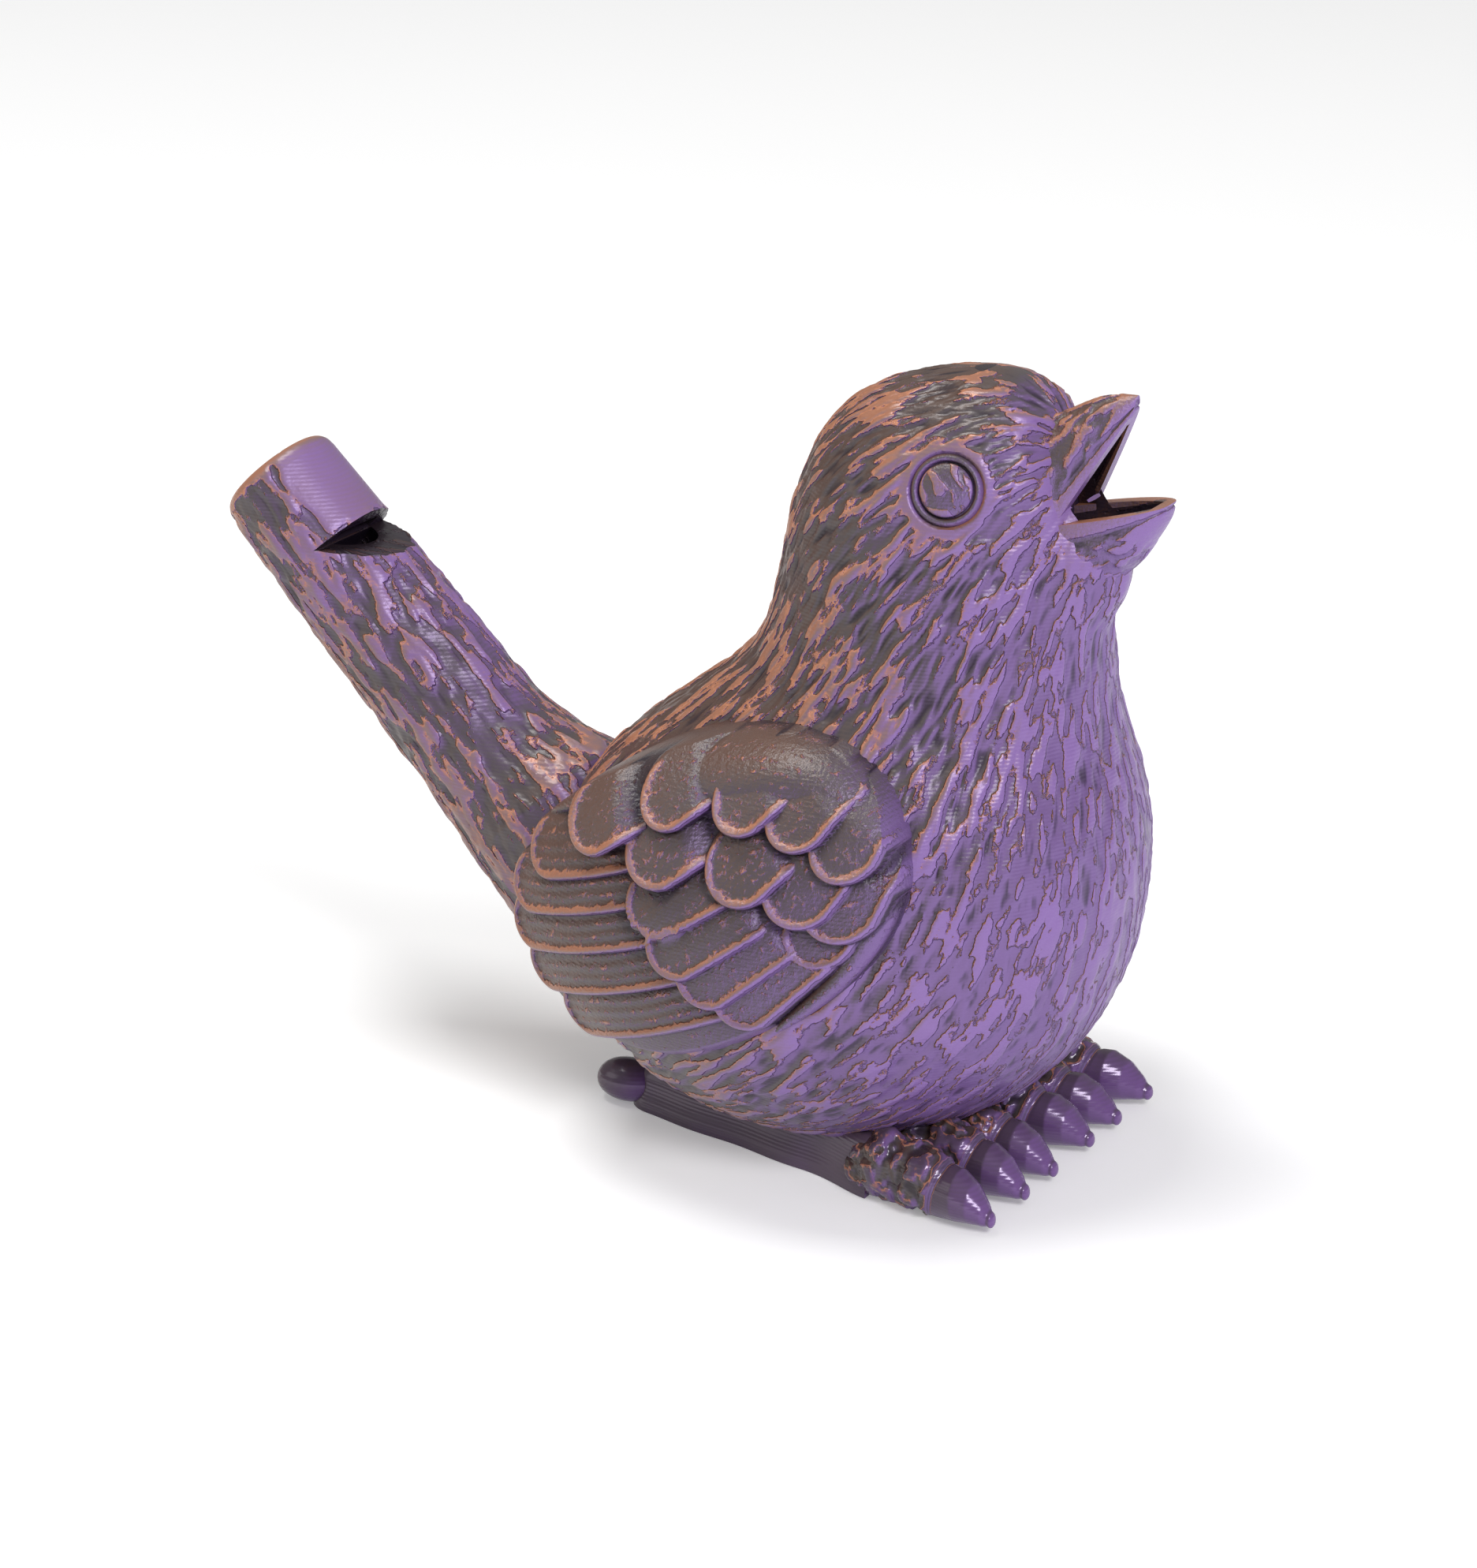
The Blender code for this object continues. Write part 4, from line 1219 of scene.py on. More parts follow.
@dataclass
class Beak(Assembly):
    """The two halves of the open beak, hollowed to a thin wall."""

    flesh: Flesh
    gape_rise: float = 1.8 * MM
    half_width: float = 4.1 * MM
    upper_length: float = 10.3 * MM
    upper_angle: float = math.radians(61.5)
    culmen: float = 8.4 * MM
    upper_tip: float = 1.2 * MM
    lower_length: float = 8.3 * MM
    lower_angle: float = math.radians(13.5)
    keel: float = 7.0 * MM
    lower_tip: float = 1.3 * MM
    gape_depth: float = 0.4 * MM
    culmen_setback: float = 0.6 * MM
    culmen_bow: float = 0.5 * MM
    upper_tip_half: float = 0.45 * MM
    keel_forward: float = 1.2 * MM
    lower_tip_half: float = 0.6 * MM
    upper_hollow: float = 0.72
    upper_wall: float = 1.1 * MM
    lower_hollow: float = 0.5
    lower_wall: float = 1.25 * MM
    throat_radius: float = 3.8 * MM
    gape_radius: float = 2.8 * MM
    barb_relief: float = 0.1 * MM
    rim_groove: float = 0.16 * MM
    wall_depth: float = 0.3 * MM
    sections: int = 120
    segments: int = 61
    gape: np.ndarray = field(init=False)

    def __post_init__(self) -> None:
        """Find the corner of the gape on the face."""
        height = self.flesh.middle(3)[2] + self.gape_rise
        start = np.array(((self.flesh.middle(3)[0], 0.0, height),))
        run = self.flesh.reach(start, np.array(((1.0, 0.0, 0.0),)))
        self.gape = np.array((start[0, 0] + float(run[0]) - self.gape_depth, 0.0, height))

    def upper(self, share: float) -> tuple:
        """Return the rim, the ridge and the half width of the upper half.

        Args:
            share: How far along the half it lies, from 0 at the gape to 1 at the tip.

        Returns:
            Two points and a width.
        """
        along = np.array((math.cos(self.upper_angle), 0.0, math.sin(self.upper_angle)))
        rim = self.gape + along * self.upper_length * share
        root = self.gape + np.array((-self.culmen_setback, 0, self.culmen))
        tip = self.gape + along * self.upper_length + np.array((0.1 * MM, 0, self.upper_tip))
        ridge = root + (tip - root) * share + UP * self.culmen_bow * math.sin(math.pi * max(0.0, share))
        half = self.upper_tip_half + (self.half_width - self.upper_tip_half) * max(0.0, 1 - share) ** 0.8
        return rim, ridge, half

    def lower(self, share: float) -> tuple:
        """Return the rim, the keel and the half width of the lower half.

        Args:
            share: How far along the half it lies, from 0 at the gape to 1 at the tip.

        Returns:
            Two points and a width.
        """
        along = np.array((math.cos(self.lower_angle), 0.0, math.sin(self.lower_angle)))
        rim = self.gape + along * self.lower_length * share
        root = self.gape + np.array((self.keel_forward, 0, -self.keel))
        tip = self.gape + along * self.lower_length - np.array((0.1 * MM, 0, self.lower_tip))
        belly = np.array((0.5 * MM, 0, -0.5 * MM)) * math.sin(math.pi * max(0.0, share))
        round_off = math.sqrt(max(0.0, 1 - max(share, 0.0) ** 2))
        half = self.lower_tip_half + (self.half_width - self.lower_tip_half) * round_off
        return rim, root + (tip - root) * share + belly, half

    def arch(self, section: tuple, points: int) -> np.ndarray:
        """Return one section, an arch over the ridge that is closed along the rim.

        Args:
            section: The rim, the ridge and the half width.
            points: How many points the arch has.

        Returns:
            The arch's points.
        """
        rim, ridge, half = section
        turn = np.linspace(0, np.pi, points)
        ring = rim + np.sin(turn)[:, None] ** 0.85 * (ridge - rim)
        ring[:, 1] = -half * np.cos(turn)
        return ring

    def half(self, name: str, section: Callable, depth: float, wall: float, seed: int) -> bpy.types.Object:
        """Make one half of the beak.

        Args:
            name: The piece's name.
            section: The method that gives its sections.
            depth: How far the hollow goes from rim to ridge.
            wall: How thick its wall is.
            seed: Number that fixes its barbs.

        Returns:
            The hollowed piece.
        """
        shares = np.linspace(-0.35, 1.0, self.sections)
        points = np.array([self.arch(section(share), self.segments) for share in shares])
        normals = MeshWork.outward(points)
        flow = np.broadcast_to(section(1.0)[0] - section(0.0)[0], points.shape)
        strands = Strands(points, unit(flow)).draw(Grain(seed, 0.42 * MM), 2.0 * MM)
        turn = np.linspace(0, np.pi, self.segments)
        inner = smooth(np.sin(turn), 0.12, 0.3)[None, :]
        root = 1 - smooth(shares, 0.55, 0.9)[:, None]
        groove = bump_of(np.sin(turn), 0.2, 0.07)[None, :] * smooth(shares, -0.05, 0.1)[:, None]
        lift = self.barb_relief * np.tanh(2 * strands) * inner * root - self.rim_groove * groove
        points = points + normals * lift[..., None]
        # The groove along the rim gets low barbs, so painted shade darkens it.
        barbs = (0.5 * np.tanh(1.5 * strands) - 0.1) * inner * root + 0.9 * (1 - inner * root) - 1.6 * groove
        piece = MeshWork.skin(name, points)
        tool = self.hollow_tool(section, depth, wall, np.linspace(-0.3, 0.86, 60), 31)
        MeshWork.combine(piece, tool, Join.CUT)
        inward = Vector(unit(np.cross(section(1.0)[0] - section(0.0)[0], ACROSS)))
        inward = inward if inward.dot(Vector(section(0.0)[1] - section(0.0)[0])) > 0 else -inward
        start = Vector(self.gape)
        # The barbs come back, and the walls inside the half get painted shade.
        MeshWork.restore(piece, points, barbs, lambda spot: (spot - start).dot(inward) > self.wall_depth)
        return piece

    def throat_tool(self) -> bpy.types.Object:
        """Return the cutter of the throat behind the gape.

        Returns:
            The cutter.
        """
        neck, head = self.flesh.middle(2), self.flesh.middle(3)
        stops = ((np.array((neck[0], 0, neck[2])), self.throat_radius),
                 (np.array((head[0] + 6.1 * MM, 0, head[2] - 2.4 * MM)), self.throat_radius),
                 (self.gape + np.array((0.6 * MM, 0, 2.4 * MM)), self.gape_radius))
        rings = []
        for index, (middle, radius) in enumerate(stops):
            run = unit(stops[min(index + 1, 2)][0] - stops[max(index - 1, 0)][0])
            rings.append(MeshWork.circle(middle, radius, ACROSS, np.cross(run, ACROSS), 48))
        return MeshWork.skin("throat", np.array(rings))

    def hollow_tool(self, section: Callable, depth: float, wall: float, shares: np.ndarray,
                    segments: int) -> bpy.types.Object:
        """Return the cutter that hollows one half, or opens the face behind it.

        Args:
            section: The method that gives the half's sections.
            depth: How far the hollow goes from rim to ridge.
            wall: How thick the half's wall is.
            shares: Where along the half the cutter has its rings.
            segments: How many points its arch has.

        Returns:
            The cutter.
        """
        rings = []
        for share in shares:
            rim, ridge, half = section(share)
            deep = rim + (ridge - rim) * depth
            ring = self.arch((rim, deep, max(half - wall, 0.25 * MM)), segments)
            lip = unit(rim - ridge) * wall * 0.8
            rings.append(np.concatenate((ring, ring[-1:] + lip, ring[:1] + lip)))
        return MeshWork.skin("hollow", np.array(rings))

    def swollen(self) -> Flesh:
        """Return the flesh with a throat that runs smoothly into the lower half's keel."""
        throat = ((20.4, 52.5), (6.0, 6.6, 7.6))
        return Flesh(self.flesh.blend, tuple(self.flesh.eggs) + (throat,))

    def open_face(self, body: bpy.types.Object) -> None:
        """Cut the mouth and the throat out of the body's skin.

        Args:
            body: The piece with the face.
        """
        MeshWork.combine(body, self.throat_tool(), Join.CUT)
        shares = np.linspace(-0.3, 0.4, 12)
        for section, depth, wall in ((self.upper, self.upper_hollow, self.upper_wall),
                                     (self.lower, self.lower_hollow, self.lower_wall)):
            MeshWork.combine(body, self.hollow_tool(section, depth, wall, shares, 21), Join.CUT)

    def build(self) -> list:
        """Make both halves."""
        return [self.half("upper_beak", self.upper, self.upper_hollow, self.upper_wall, 41),
                self.half("lower_beak", self.lower, self.lower_hollow, self.lower_wall, 42)]


@dataclass
class Wing(Assembly):
    """The folded right wing: quills, rows of scale feathers and a smooth crescent shoulder."""

    flesh: Flesh
    length: float = 39.0 * MM
    height: float = 24.0 * MM
    tilt: float = math.radians(28.0)
    setback: float = -2.75 * MM
    rise: float = 5.5 * MM
    span: float = 45.0 * MM
    shell_length: float = 28.0 * MM
    shell_height: float = 21.0 * MM
    shell_drop: float = 2.5 * MM
    step: float = 0.6 * MM
    quill_width: float = 5.4 * MM
    quills: int = 6
    scale_width: float = 6.6 * MM
    squareness: float = 2.3
    quill_tips: tuple = (-17.8, 5.6)
    quill_tip_fall: float = 18.0
    quill_roots: tuple = (14.0, 10.5)
    quill_root_fall: float = 11.5
    quill_layer: float = 2.2
    quill_overlap: float = 0.15
    scale_overlap: float = 0.14
    blend: float = 1.0 * MM
    arch: float = 0.25 * MM
    rim_place: float = 0.5 * MM
    rim_width: float = 0.36 * MM
    rim_height: float = 0.36 * MM
    gap_width: float = 0.17 * MM
    gap_depth: float = 0.6 * MM
    root_depth: float = 1.6 * MM
    root_length: float = 2.6 * MM
    groove_pitch: float = 0.95 * MM
    groove_wave: float = 1.7 * MM
    quill_groove: float = 0.05 * MM
    quill_droop: float = 0.5 * MM
    scale_droop: float = 0.45 * MM
    shoulder_first: float = math.radians(-80)
    shoulder_last: float = math.radians(118)
    crown_turn: float = math.radians(56)
    crown_spread: float = math.radians(48)
    roll_width: float = 3.2 * MM
    crown_width: float = 4.8 * MM
    roll_height: float = 1.7 * MM
    crown_height: float = 2.0 * MM
    shade: float = 0.8
    skirt_shade: float = 0.3
    segments: int = 480
    rings: int = 124
    scale_rows: Sequence[tuple] = (
        (3.3, 0.95, 12.0, ((-3.2, -0.2), (-1.0, -3.2), (1.9, -5.4), (5.2, -7.0), (11.4, -1.7))),
        (4.6, 1.05, 8.0, ((-3.6, 4.2), (4.2, 3.5), (9.6, 1.9), (13.2, 0.6))),
        (6.1, 0.95, 7.0, ((-9.6, 5.9), (-3.1, 8.6), (3.6, 8.8), (8.8, 7.8), (13.4, 5.4))),
    )
    skirt: Sequence[tuple] = ((1.008, 1.2), (1.015, 2.4), (1.015, 4.5))

    def outline(self, turn: np.ndarray) -> np.ndarray:
        """Return points round the wing's edge, on the wing's plane.

        Args:
            turn: Angles round the wing.

        Returns:
            One place per angle.
        """
        square = 2 / self.squareness
        a = np.sign(np.cos(turn)) * np.abs(np.cos(turn)) ** square * self.length / 2
        b = np.sign(np.sin(turn)) * np.abs(np.sin(turn)) ** square * self.height / 2
        return np.stack([a * math.cos(self.tilt) - b * math.sin(self.tilt),
                         a * math.sin(self.tilt) + b * math.cos(self.tilt)], axis=-1)

    def lifted(self, places: np.ndarray, heights: np.ndarray) -> np.ndarray:
        """Lift places of the wing's plane to its curved face.

        Args:
            places: Places on the wing's plane, from its middle.
            heights: How proud of the face each one stands.

        Returns:
            Points in space.
        """
        rump = self.flesh.middle(0)
        xs = rump[0] + self.setback + places[..., 0]
        zs = rump[2] + self.rise + places[..., 1]
        flank = self.flesh.reach(np.stack([xs, np.zeros_like(xs), zs], axis=-1), np.array((0.0, -1.0, 0.0)))
        shares = (places[..., 0] / self.shell_length) ** 2
        shares = shares + ((places[..., 1] + self.shell_drop) / self.shell_height) ** 2
        shell = self.span / 2 * np.sqrt(np.clip(1 - shares, 0.02, 1))
        over = np.maximum(flank, shell)
        near = np.exp((flank - over) / self.blend) + np.exp((shell - over) / self.blend)
        face = over + self.blend * np.log(near)
        return np.stack([xs, -(face + heights), zs], axis=-1)

    def feather(self, places: np.ndarray, path: Sequence[tuple], width: float, layer: float,
                droop: float, barbs: float) -> tuple:
        """Return how high one feather stands at each place, or a very low value outside it.

        Args:
            places: Places on the wing's plane.
            path: Start, middle and end of its curve, in millimetres.
            width: Its width.
            layer: Its layer, counted in steps.
            droop: How far its lower edge stands above its upper edge.
            barbs: How deep its long grooves are.

        Returns:
            Heights in metres, and barbs.
        """
        start, middle, end = (np.array(stop) * MM for stop in path)
        share = np.linspace(0, 1, 33)[:, None]
        curve = (1 - share) ** 2 * start + 2 * share * (1 - share) * middle + share ** 2 * end
        ahead = unit(np.gradient(curve, axis=0))
        normal = np.stack([-ahead[:, 1], ahead[:, 0]], axis=-1)
        runs = np.concatenate(([0.0], np.cumsum(np.linalg.norm(np.diff(curve, axis=0), axis=-1))))
        gaps = places[..., None, :] - curve
        nearest = (gaps ** 2).sum(-1).argmin(-1)
        gap = np.take_along_axis(gaps, nearest[..., None, None], axis=-2)[..., 0, :]
        along = runs[nearest] + (gap * ahead[nearest]).sum(-1)
        across = (gap * normal[nearest]).sum(-1)
        shoulder = runs[-1] - width / 2
        spread = width / 2 * (0.8 + 0.2 * np.clip(along / shoulder, 0, 1))
        side = across / spread
        beyond = np.clip(along - shoulder, 0, None) / (width / 2)
        inside = 1 - np.sqrt(side ** 2 + beyond ** 2)
        edge = inside * spread
        rim = bump_of(edge, self.rim_place, self.rim_width)
        gap = np.exp(-np.clip(edge, 0, None) / self.gap_width)
        free = np.maximum(smooth(side, -0.5, 0.2), smooth(beyond, 0.1, 0.7))
        rim = rim * free
        height = layer * self.step + self.arch * (1 - np.clip(side, -1, 1) ** 2) + droop * side
        height = height + self.rim_height * rim - self.gap_depth * gap
        height = height - self.root_depth * (1 - smooth(along, -0.2 * MM, self.root_length))
        groove = np.cos(2 * np.pi * across / self.groove_pitch + 0.5 * np.sin(along / self.groove_wave))
        inner = smooth(edge, 0.5 * MM, 1.0 * MM)
        height = height + barbs * groove * inner
        # The gap below each feather's free edge gets very low barbs, so painted shade darkens it.
        proud = 1.05 * rim - 2.6 * gap - 0.22 + groove * barbs / (0.4 * MM) * inner
        covered = (inside > 0) & (along > 0)
        return np.where(covered, height, OUTSIDE), np.where(covered, proud, OUTSIDE)

    def plates(self) -> list:
        """List the feathers: path, width, layer, droop and depth of the long grooves of each.

        Returns:
            One entry per feather.
        """
        plates = []
        for index in range(self.quills):
            part = index / (self.quills - 1)
            drop = self.quill_tips[1] - self.quill_tip_fall * part
            end = (self.quill_tips[0] + 0.07 * (drop + 4.0) ** 2, drop)
            start = (self.quill_roots[0] * part, self.quill_roots[1] - self.quill_root_fall * part)
            middle = ((start[0] + end[0]) / 2 + 0.5, (start[1] + end[1]) / 2 - 1.0)
            layer = self.quill_layer - self.quill_overlap * index
            path = (start, middle, end)
            plates.append((path, self.quill_width, layer, self.quill_droop, self.quill_groove))
        for row, girth, long, tips in self.scale_rows:
            for index, tip in enumerate(tips):
                lean = unit(np.array((0.92 - 0.045 * tip[0], 0.62))) * long
                start = (tip[0] + lean[0], tip[1] + lean[1])
                middle = ((start[0] + tip[0]) / 2, (start[1] + tip[1]) / 2)
                layer = row - self.scale_overlap * index
                path = (start, middle, tip)
                plates.append((path, self.scale_width * girth, layer, self.scale_droop, 0.0))
        return plates

    def relief(self, places: np.ndarray, turn: np.ndarray, share: np.ndarray) -> tuple:
        """Return how proud of its face the wing stands, and how proud its barbs are.

        Args:
            places: Places on the wing's plane.
            turn: The angle of each one.
            share: How far each one lies from the middle to the edge.

        Returns:
            Heights in metres, and barbs.
        """
        rim = 1 - share
        height = self.step * (-1 + 2.2 * smooth(rim, 0.0, 0.09))
        proud = np.full_like(height, -0.3)
        layers = [self.feather(places, path, width, layer, droop, barbs)
                  for path, width, layer, droop, barbs in self.plates()]
        inward = rim * np.linalg.norm(self.outline(turn), axis=-1)
        layers.append(self.shoulder(turn, inward))
        for plate, worn in layers:
            higher = plate > height
            height = np.where(higher, plate, height)
            proud = np.where(higher, worn, proud)
        return height, proud

    def shoulder(self, turn: np.ndarray, inward: np.ndarray) -> tuple:
        """Return the height of the crescent shoulder, which thins to a roll down the front.

        Args:
            turn: Angles round the wing.
            inward: How far each place lies from the edge, in metres.

        Returns:
            Heights in metres, and barbs.
        """
        wrapped = (turn + math.pi) % (2 * math.pi) - math.pi
        part = (wrapped - self.shoulder_first) / (self.shoulder_last - self.shoulder_first)
        taper = np.sqrt(np.sin(np.pi * np.clip(part, 0, 1)))
        crown = bump_of(wrapped, self.crown_turn, self.crown_spread)
        width = (self.roll_width + self.crown_width * crown) * taper + 1e-6
        lift = (self.roll_height + self.crown_height * crown) * taper
        across = inward / width
        profile = np.sin(np.pi * np.clip(across, 0, 1) ** 0.72) ** 0.5
        height = lift * (1.15 * profile - 0.15) + self.step
        inside = (across < 1) & (part > 0) & (part < 1)
        proud = -0.26 - 0.5 * bump_of(across, 1.0, 0.08) + 0.12 * np.cos(2 * np.pi * inward / (0.8 * MM))
        return np.where(inside, height, OUTSIDE), np.where(inside, proud, OUTSIDE)

    def build(self) -> bpy.types.Object:
        """Make the right wing as one skin over the pad, the feathers and the shoulder.

        Returns:
            The wing.
        """
        turn = np.linspace(0, 2 * np.pi, self.segments, endpoint=False)
        shares = np.sqrt(np.linspace(0.0, 1.0, self.rings + 1)[1:])
        share, angle = np.meshgrid(shares, turn, indexing="ij")
        places = self.outline(angle) * share[..., None]
        heights, proud = self.relief(places, angle, share)
        heights[0] = heights[0].mean()
        face = self.lifted(places, heights)
        under = [self.lifted(self.outline(turn) * spread, np.full_like(turn, -drop * MM))
                 for spread, drop in self.skirt]
        rings = np.concatenate((face, np.array(under)))
        strands = 0.4 * Grain(51, 0.6 * MM).at(face) + 0.5 * Grain(52, 0.32 * MM).at(face)
        below = rings[-len(self.skirt):].shape[:2]
        proud = np.concatenate((proud + 0.3 * np.tanh(strands), np.full(below, GROUND)))
        # Painted shade: dark where neighbouring feathers stand higher, and a lighter painted shade on the
        # skirt under the wing's edge.
        around = heights
        for reach in (1, 2, 3, 4):
            ahead = np.concatenate((around[reach:], np.repeat(around[-1:], reach, axis=0)))
            behind = np.concatenate((np.repeat(around[:1], reach, axis=0), around[:-reach]))
            around = (around + ahead + behind + np.roll(around, reach, 1) + np.roll(around, -reach, 1)) / 5
        shade = self.shade * smooth(around - heights, 0.02 * MM, 0.42 * MM)
        shade = np.concatenate((shade, np.full(below, self.skirt_shade)))
        tip = face[0].mean(axis=0)
        return MeshWork.skin("right_wing", rings, first=tip, barbs=proud, hollow=shade)


@dataclass
class Sole(Assembly):
    """The flat sole that closes the belly between the feet."""

    length: float = 26.0 * MM
    width: float = 15.0 * MM
    height: float = 3.6 * MM
    setback: float = -1.75 * MM
    segments: int = 96
    levels: int = 8

    def build(self) -> bpy.types.Object:
        """Make the sole as an upright oval block, whose top is inside the belly.

        Returns:
            The sole.
        """
        turn = np.linspace(0, 2 * np.pi, self.segments, endpoint=False)
        rings = []
        for share in np.linspace(0, 1, self.levels):
            x = self.setback + np.cos(turn) * self.length / 2
            y = np.sin(turn) * self.width / 2
            rings.append(np.stack([x, y, np.full_like(x, share * self.height)], axis=-1))
        return MeshWork.skin("sole", np.array(rings), barbs=np.ones((self.levels, self.segments)))


@dataclass
class Foot(Assembly):
    """The right foot: a shank along the ground, a heel knob and three clawed toes."""

    length: float = 30.0 * MM
    rear: float = -18.4 * MM
    height: float = 3.6 * MM
    width: float = 6.4 * MM
    spread: float = math.radians(9.8)
    heel_offset: float = 7.6 * MM
    heel_size: tuple = (5.6 * MM, 4.4 * MM, 3.7 * MM)
    toe_length: float = 12.0 * MM
    toe_diameter: float = 4.9 * MM
    toe_reach: float = 20.5 * MM
    toe_fan: float = 0.82
    toes: tuple = (("inner", 3.4), ("middle", 8.6), ("outer", 14.7))
    toe_overlap: float = 3.4 * MM
    rear_share: float = 0.09
    rear_inset: float = 1.9 * MM
    flare_start: float = 0.72
    flare_out: float = 0.9 * MM
    wave_depth: float = 0.12 * MM
    wave_turns: float = 17
    softening: int = 6
    claw_root: float = 0.5
    scale_relief: float = 0.26 * MM
    stations: int = 110
    segments: int = 60
    flank: Sequence[tuple] = ((0.0, 0.0), (-0.1, 0.1), (0.05, 0.25), (0.45, 0.42), (0.55, 0.6), (0.6, 0.8),
                              (1.1, 0.97), (2.0, 1.0), (4.5, 1.02))
    toe_stops: Sequence[tuple] = (
        (-0.22, 0.42, 0.55), (-0.05, 0.6, 0.95), (0.10, 0.68, 1.06), (0.22, 0.62, 0.9),
        (0.34, 0.62, 1.04), (0.47, 0.58, 1.0), (0.53, 0.56, 0.93), (0.56, 0.55, 0.78),
        (0.60, 0.55, 0.8), (0.70, 0.52, 0.84), (0.82, 0.44, 0.68), (0.92, 0.32, 0.42),
        (0.955, 0.27, 0.27), (0.975, 0.25, 0.27), (0.99, 0.24, 0.22), (1.0, 0.23, 0.08),
    )

    def shank(self) -> bpy.types.Object:
        """Make the shank with a rounded rear, a rounded upper edge and a hollowed side.

        Returns:
            The shank.
        """
        inner = ((self.width / MM, 1.0), (self.width / MM, 0.0))
        outline = self.rounded(np.array(tuple(self.flank) + inner), self.segments)
        rings = []
        for share in np.linspace(0, 1, self.stations):
            x = self.rear + share * (self.length - self.toe_overlap)
            outer = -self.heel_offset - math.tan(self.spread) * share * self.length
            rear = 1 - math.sqrt(max(0.0, 1 - (1 - min(1.0, share / self.rear_share)) ** 2))
            flare = float(smooth(np.array(share), self.flare_start, 1.0))
            top = self.height * (0.95 + 0.25 * share + 0.25 * flare) * (1 - 0.25 * rear)
            outer += self.rear_inset * rear - self.flare_out * flare
            wave = self.wave_depth * math.sin(share * self.wave_turns)
            rings.append([(x, min(outer + inset * MM + wave * (inset < 2), outer + self.width), rise * top)
                          for inset, rise in outline])
        return MeshWork.skin("right_shank", np.array(rings), barbs=np.ones((self.stations, self.segments)))

    @staticmethod
    def rounded(profile: np.ndarray, count: int) -> np.ndarray:
        """Return an open outline with many points and soft corners.

        Args:
            profile: The outline's corners.
            count: How many points it gets.

        Returns:
            The outline.
        """
        runs = np.concatenate(([0.0], np.cumsum(np.linalg.norm(np.diff(profile, axis=0), axis=-1))))
        places = np.linspace(0, runs[-1], count)
        dense = np.stack([np.interp(places, runs, profile[:, axis]) for axis in (0, 1)], axis=-1)
        for _ in range(Foot.softening):
            dense[1:-1] = (dense[:-2] + 2 * dense[1:-1] + dense[2:]) / 4
        return dense

    def heel(self) -> bpy.types.Object:
        """Make the flattened knob behind the shank.

        Returns:
            The heel.
        """
        half = np.array(self.heel_size) / 2
        middle = np.array((self.rear - 0.5 * MM, -self.heel_offset + half[1] * 0.75, half[2] * 0.95))
        rings = []
        for slope in np.linspace(-1.5, 1.5, 40):
            ring = MeshWork.circle(np.zeros(3), math.cos(slope) ** 0.8, ACROSS, UP, 44)
            ring = ring * np.array((1.0, half[1], half[2])) + middle
            rings.append(ring + np.array((half[0] * math.sin(slope), 0, 0)))
        points = np.array(rings)
        points[..., 2] = np.maximum(points[..., 2], 0.0)
        return MeshWork.skin("right_heel", points, barbs=np.ones(points.shape[:2]))

    def toe(self, name: str, offset: float) -> bpy.types.Object:
        """Make one toe with scaly knuckles and a smooth curved claw.

        Args:
            name: Which toe it is.
            offset: How far its tip lies from the middle plane, in metres.

        Returns:
            The toe's object.
        """
        stops = np.array(self.toe_stops)
        shares = np.concatenate((np.linspace(stops[0, 0], self.claw_root, 70),
                                 np.linspace(self.claw_root + 0.005, 1.0, 70)))
        rises = np.interp(shares, stops[:, 0], stops[:, 1])
        girths = np.interp(shares, stops[:, 0], stops[:, 2])
        rises[1:-1] = (rises[:-2] + 2 * rises[1:-1] + rises[2:]) / 4
        girths[1:-1] = (girths[:-2] + 2 * girths[1:-1] + girths[2:]) / 4
        root = offset * self.toe_fan
        turn = np.linspace(0, 2 * np.pi, self.segments, endpoint=False)
        cuticle = 0.05 * np.sin(turn)
        rings = []
        for share, rise, girth in zip(shares, rises, girths):
            radius = girth * self.toe_diameter / 2
            middle = np.array((self.toe_reach - self.toe_length * (1 - share),
                               -(root + (offset - root) * share), rise * self.toe_diameter))
            ring = middle + radius * (np.cos(turn)[:, None] * ACROSS + np.sin(turn)[:, None] * UP)
            raised = smooth(np.array(share), 0.55, 0.9)
            sunk = middle[2] * (1 - raised) + radius * raised
            ring[:, 2] = np.where(np.sin(turn) < 0, middle[2] + sunk * np.sin(turn), ring[:, 2])
            ring[:, 0] += cuticle * self.toe_length * bump_of(np.array(share), 0.55, 0.08)
            rings.append(ring)
        points = np.array(rings)
        normals = MeshWork.outward(points)
        knuckle = 1 - smooth(shares, 0.49, 0.53)[:, None]
        scales = np.tanh(1.8 * Grain(61, 0.85 * MM).at(points) + 0.9 * Grain(62, 0.5 * MM).at(points))
        points = points + normals * (self.scale_relief * scales * knuckle)[..., None]
        points[..., 2] = np.maximum(points[..., 2], 0.0)
        # A thin ring of low barbs at the claw's cuticle gets painted shade.
        barbs = (scales - 0.3) * knuckle + (1 - knuckle) - 2.2 * bump_of(shares, 0.545, 0.018)[:, None]
        return MeshWork.skin(f"right_{name}_toe", points, barbs=barbs)

    def build(self) -> list:
        """Make the foot's pieces.

        Returns:
            The shank, the heel and the toes.
        """
        pieces = [self.shank(), self.heel()]
        for name, offset in self.toes:
            pieces.append(self.toe(name, offset * MM))
        return pieces


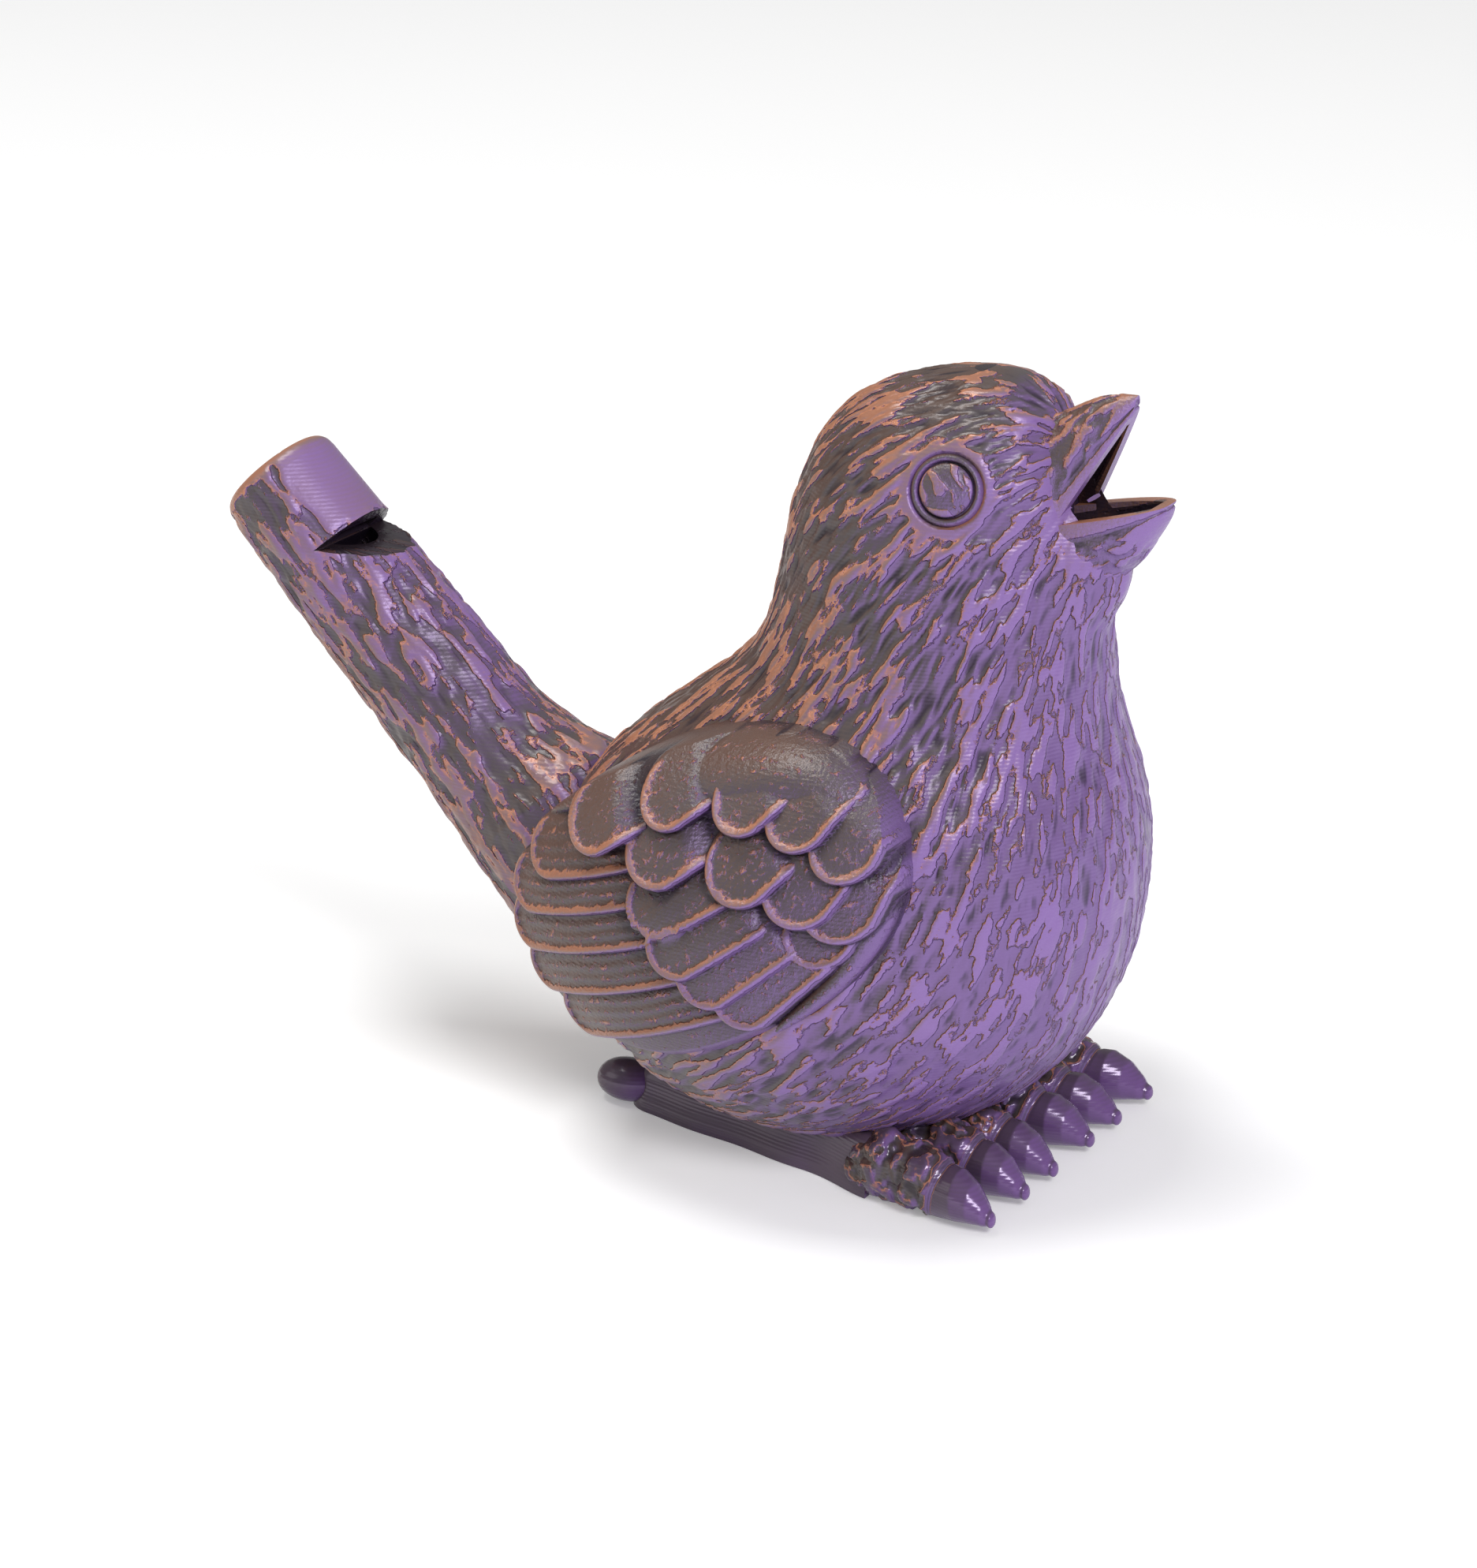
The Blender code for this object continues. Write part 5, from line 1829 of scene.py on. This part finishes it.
@dataclass
class Studio:
    """The plain pale floor, the soft light and the camera at the photograph's angle."""

    azimuth: float = math.radians(30.0)
    elevation: float = math.radians(20.0)
    distance: float = 396.0 * MM
    target: tuple = (-11.6 * MM, 0.0, 27.95 * MM)
    sensor: float = 36.0
    lens: float = 6000.0 / 1988.0 * 36.0
    floor_half: float = 4.0
    floor_level: float = -0.05 * MM
    floor_colour: tuple = (0.86, 0.86, 0.86, 1)
    floor_glow: float = 0.24
    room_light: float = 0.32
    aim: tuple = (0.0, 0.0, 0.03)
    lamps: Sequence[tuple] = (
        ("key_lamp", (0.6, -0.42, 0.6), 4.7, 0.3),
        ("fill_lamp", (-0.7, -0.5, 0.45), 0.7, 0.5),
        ("top_lamp", (-0.25, -0.05, 0.9), 4.3, 0.35),
    )

    def camera(self) -> None:
        """Place the camera."""
        a, e = self.azimuth, self.elevation
        right = Vector((math.cos(a), math.sin(a), 0))
        up = Vector((-math.sin(a) * math.sin(e), math.cos(a) * math.sin(e), math.cos(e)))
        back = Vector((math.sin(a) * math.cos(e), -math.cos(a) * math.cos(e), math.sin(e)))
        matrix = Matrix((right, up, back)).transposed().to_4x4()
        matrix.translation = Vector(self.target) + back * self.distance
        data = bpy.data.cameras.new("camera")
        data.sensor_fit = "VERTICAL"
        data.sensor_height = self.sensor
        data.lens = self.lens
        data.clip_start = 0.01
        camera = bpy.data.objects.new("camera", data)
        camera.matrix_world = matrix
        bpy.context.scene.collection.objects.link(camera)
        bpy.context.scene.camera = camera

    def floor(self) -> None:
        """Lay the pale floor, which keeps the shadow and shows white."""
        mesh = bpy.data.meshes.new("floor")
        half, low = self.floor_half, self.floor_level
        mesh.from_pydata([(-half, -half, low), (half, -half, low), (half, half, low), (-half, half, low)], [],
                         [(0, 1, 2, 3)])
        floor = bpy.data.objects.new("floor", mesh)
        bpy.context.scene.collection.objects.link(floor)
        material = bpy.data.materials.new("pale_floor")
        material.use_nodes = True
        tree = material.node_tree
        shader = tree.nodes["Principled BSDF"]
        shader.inputs["Base Color"].default_value = self.floor_colour
        shader.inputs["Roughness"].default_value = 1.0
        shader.inputs["Specular IOR Level"].default_value = 0.0
        path = tree.nodes.new("ShaderNodeLightPath")
        seen = tree.nodes.new("ShaderNodeMath")
        seen.operation = "MAXIMUM"
        tree.links.new(path.outputs["Is Camera Ray"], seen.inputs[0])
        tree.links.new(path.outputs["Is Glossy Ray"], seen.inputs[1])
        level = tree.nodes.new("ShaderNodeMath")
        level.operation = "MULTIPLY"
        level.inputs[1].default_value = self.floor_glow
        tree.links.new(seen.outputs["Value"], level.inputs[0])
        shader.inputs["Emission Color"].default_value = (1, 1, 1, 1)
        tree.links.new(level.outputs["Value"], shader.inputs["Emission Strength"])
        mesh.materials.append(material)

    def world(self) -> None:
        """Light the room evenly and show it white."""
        world = bpy.data.worlds.new("room")
        bpy.context.scene.world = world
        world.use_nodes = True
        tree = world.node_tree
        light = tree.nodes["Background"]
        light.inputs["Strength"].default_value = self.room_light
        white = tree.nodes.new("ShaderNodeBackground")
        white.inputs["Strength"].default_value = 1.0
        for shader in (light, white):
            shader.inputs["Color"].default_value = (1, 1, 1, 1)
        path = tree.nodes.new("ShaderNodeLightPath")
        choose = tree.nodes.new("ShaderNodeMixShader")
        tree.links.new(path.outputs["Is Camera Ray"], choose.inputs["Fac"])
        tree.links.new(light.outputs["Background"], choose.inputs[1])
        tree.links.new(white.outputs["Background"], choose.inputs[2])
        tree.links.new(choose.outputs["Shader"], tree.nodes["World Output"].inputs["Surface"])

    def lamp(self, name: str, place: Sequence[float], power: float, size: float) -> None:
        """Hang one soft lamp that looks at the bird.

        Args:
            name: The lamp's name.
            place: Where it hangs, in metres.
            power: Its power in watts.
            size: The width of its square.
        """
        data = bpy.data.lights.new(name, "AREA")
        data.energy = power
        data.size = size
        lamp = bpy.data.objects.new(name, data)
        lamp.location = place
        aim = Vector(self.aim) - Vector(place)
        lamp.rotation_euler = aim.to_track_quat("-Z", "Y").to_euler()
        bpy.context.scene.collection.objects.link(lamp)

    def build(self) -> None:
        """Set up the whole stage."""
        self.camera()
        self.floor()
        self.world()
        for name, place, power, size in self.lamps:
            self.lamp(name, place, power, size)
        bpy.context.scene.view_settings.view_transform = "Standard"


def report(pieces: Sequence[bpy.types.Object]) -> None:
    """Log the name and the triangles of each piece.

    Args:
        pieces: The dressed pieces.
    """
    for piece in pieces:
        piece.data.calc_loop_triangles()
        log.info("%s: %d triangles", piece.name, len(piece.data.loop_triangles))


def main() -> None:
    """Build the bird, dress it and set up the studio."""
    logging.basicConfig(level=logging.INFO, format="%(message)s")
    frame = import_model()
    log.info("solids to stand for: %d", len(frame["nodes"]))
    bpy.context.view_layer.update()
    plumage, feathers, horn = SilkFinish().build(), FeatherSilk().build(), HornSilk().build()

    flesh = Flesh()
    eye = Eye(flesh)
    beak = Beak(flesh)
    body = Body(beak.swollen(), eye)
    trunk, head = body.build()
    beak.open_face(head)
    body.finish(head)
    report(body.dress((trunk, head), plumage))
    tail = Tail(flesh.middle(0))
    report(tail.dress((tail.build(),), plumage))
    report(beak.dress(beak.build(), feathers))
    wing = Wing(flesh)
    foot = Foot()
    rights = ((eye, (eye.build(),), feathers), (wing, (wing.build(),), feathers), (foot, foot.build(), horn))
    for assembly, pieces, material in rights:
        report(assembly.dress_pairs(pieces, material))
    sole = Sole()
    report(sole.dress((sole.build(),), horn))

    Studio().build()
    bpy.context.view_layer.update()


if __name__ == "__main__":
    main()
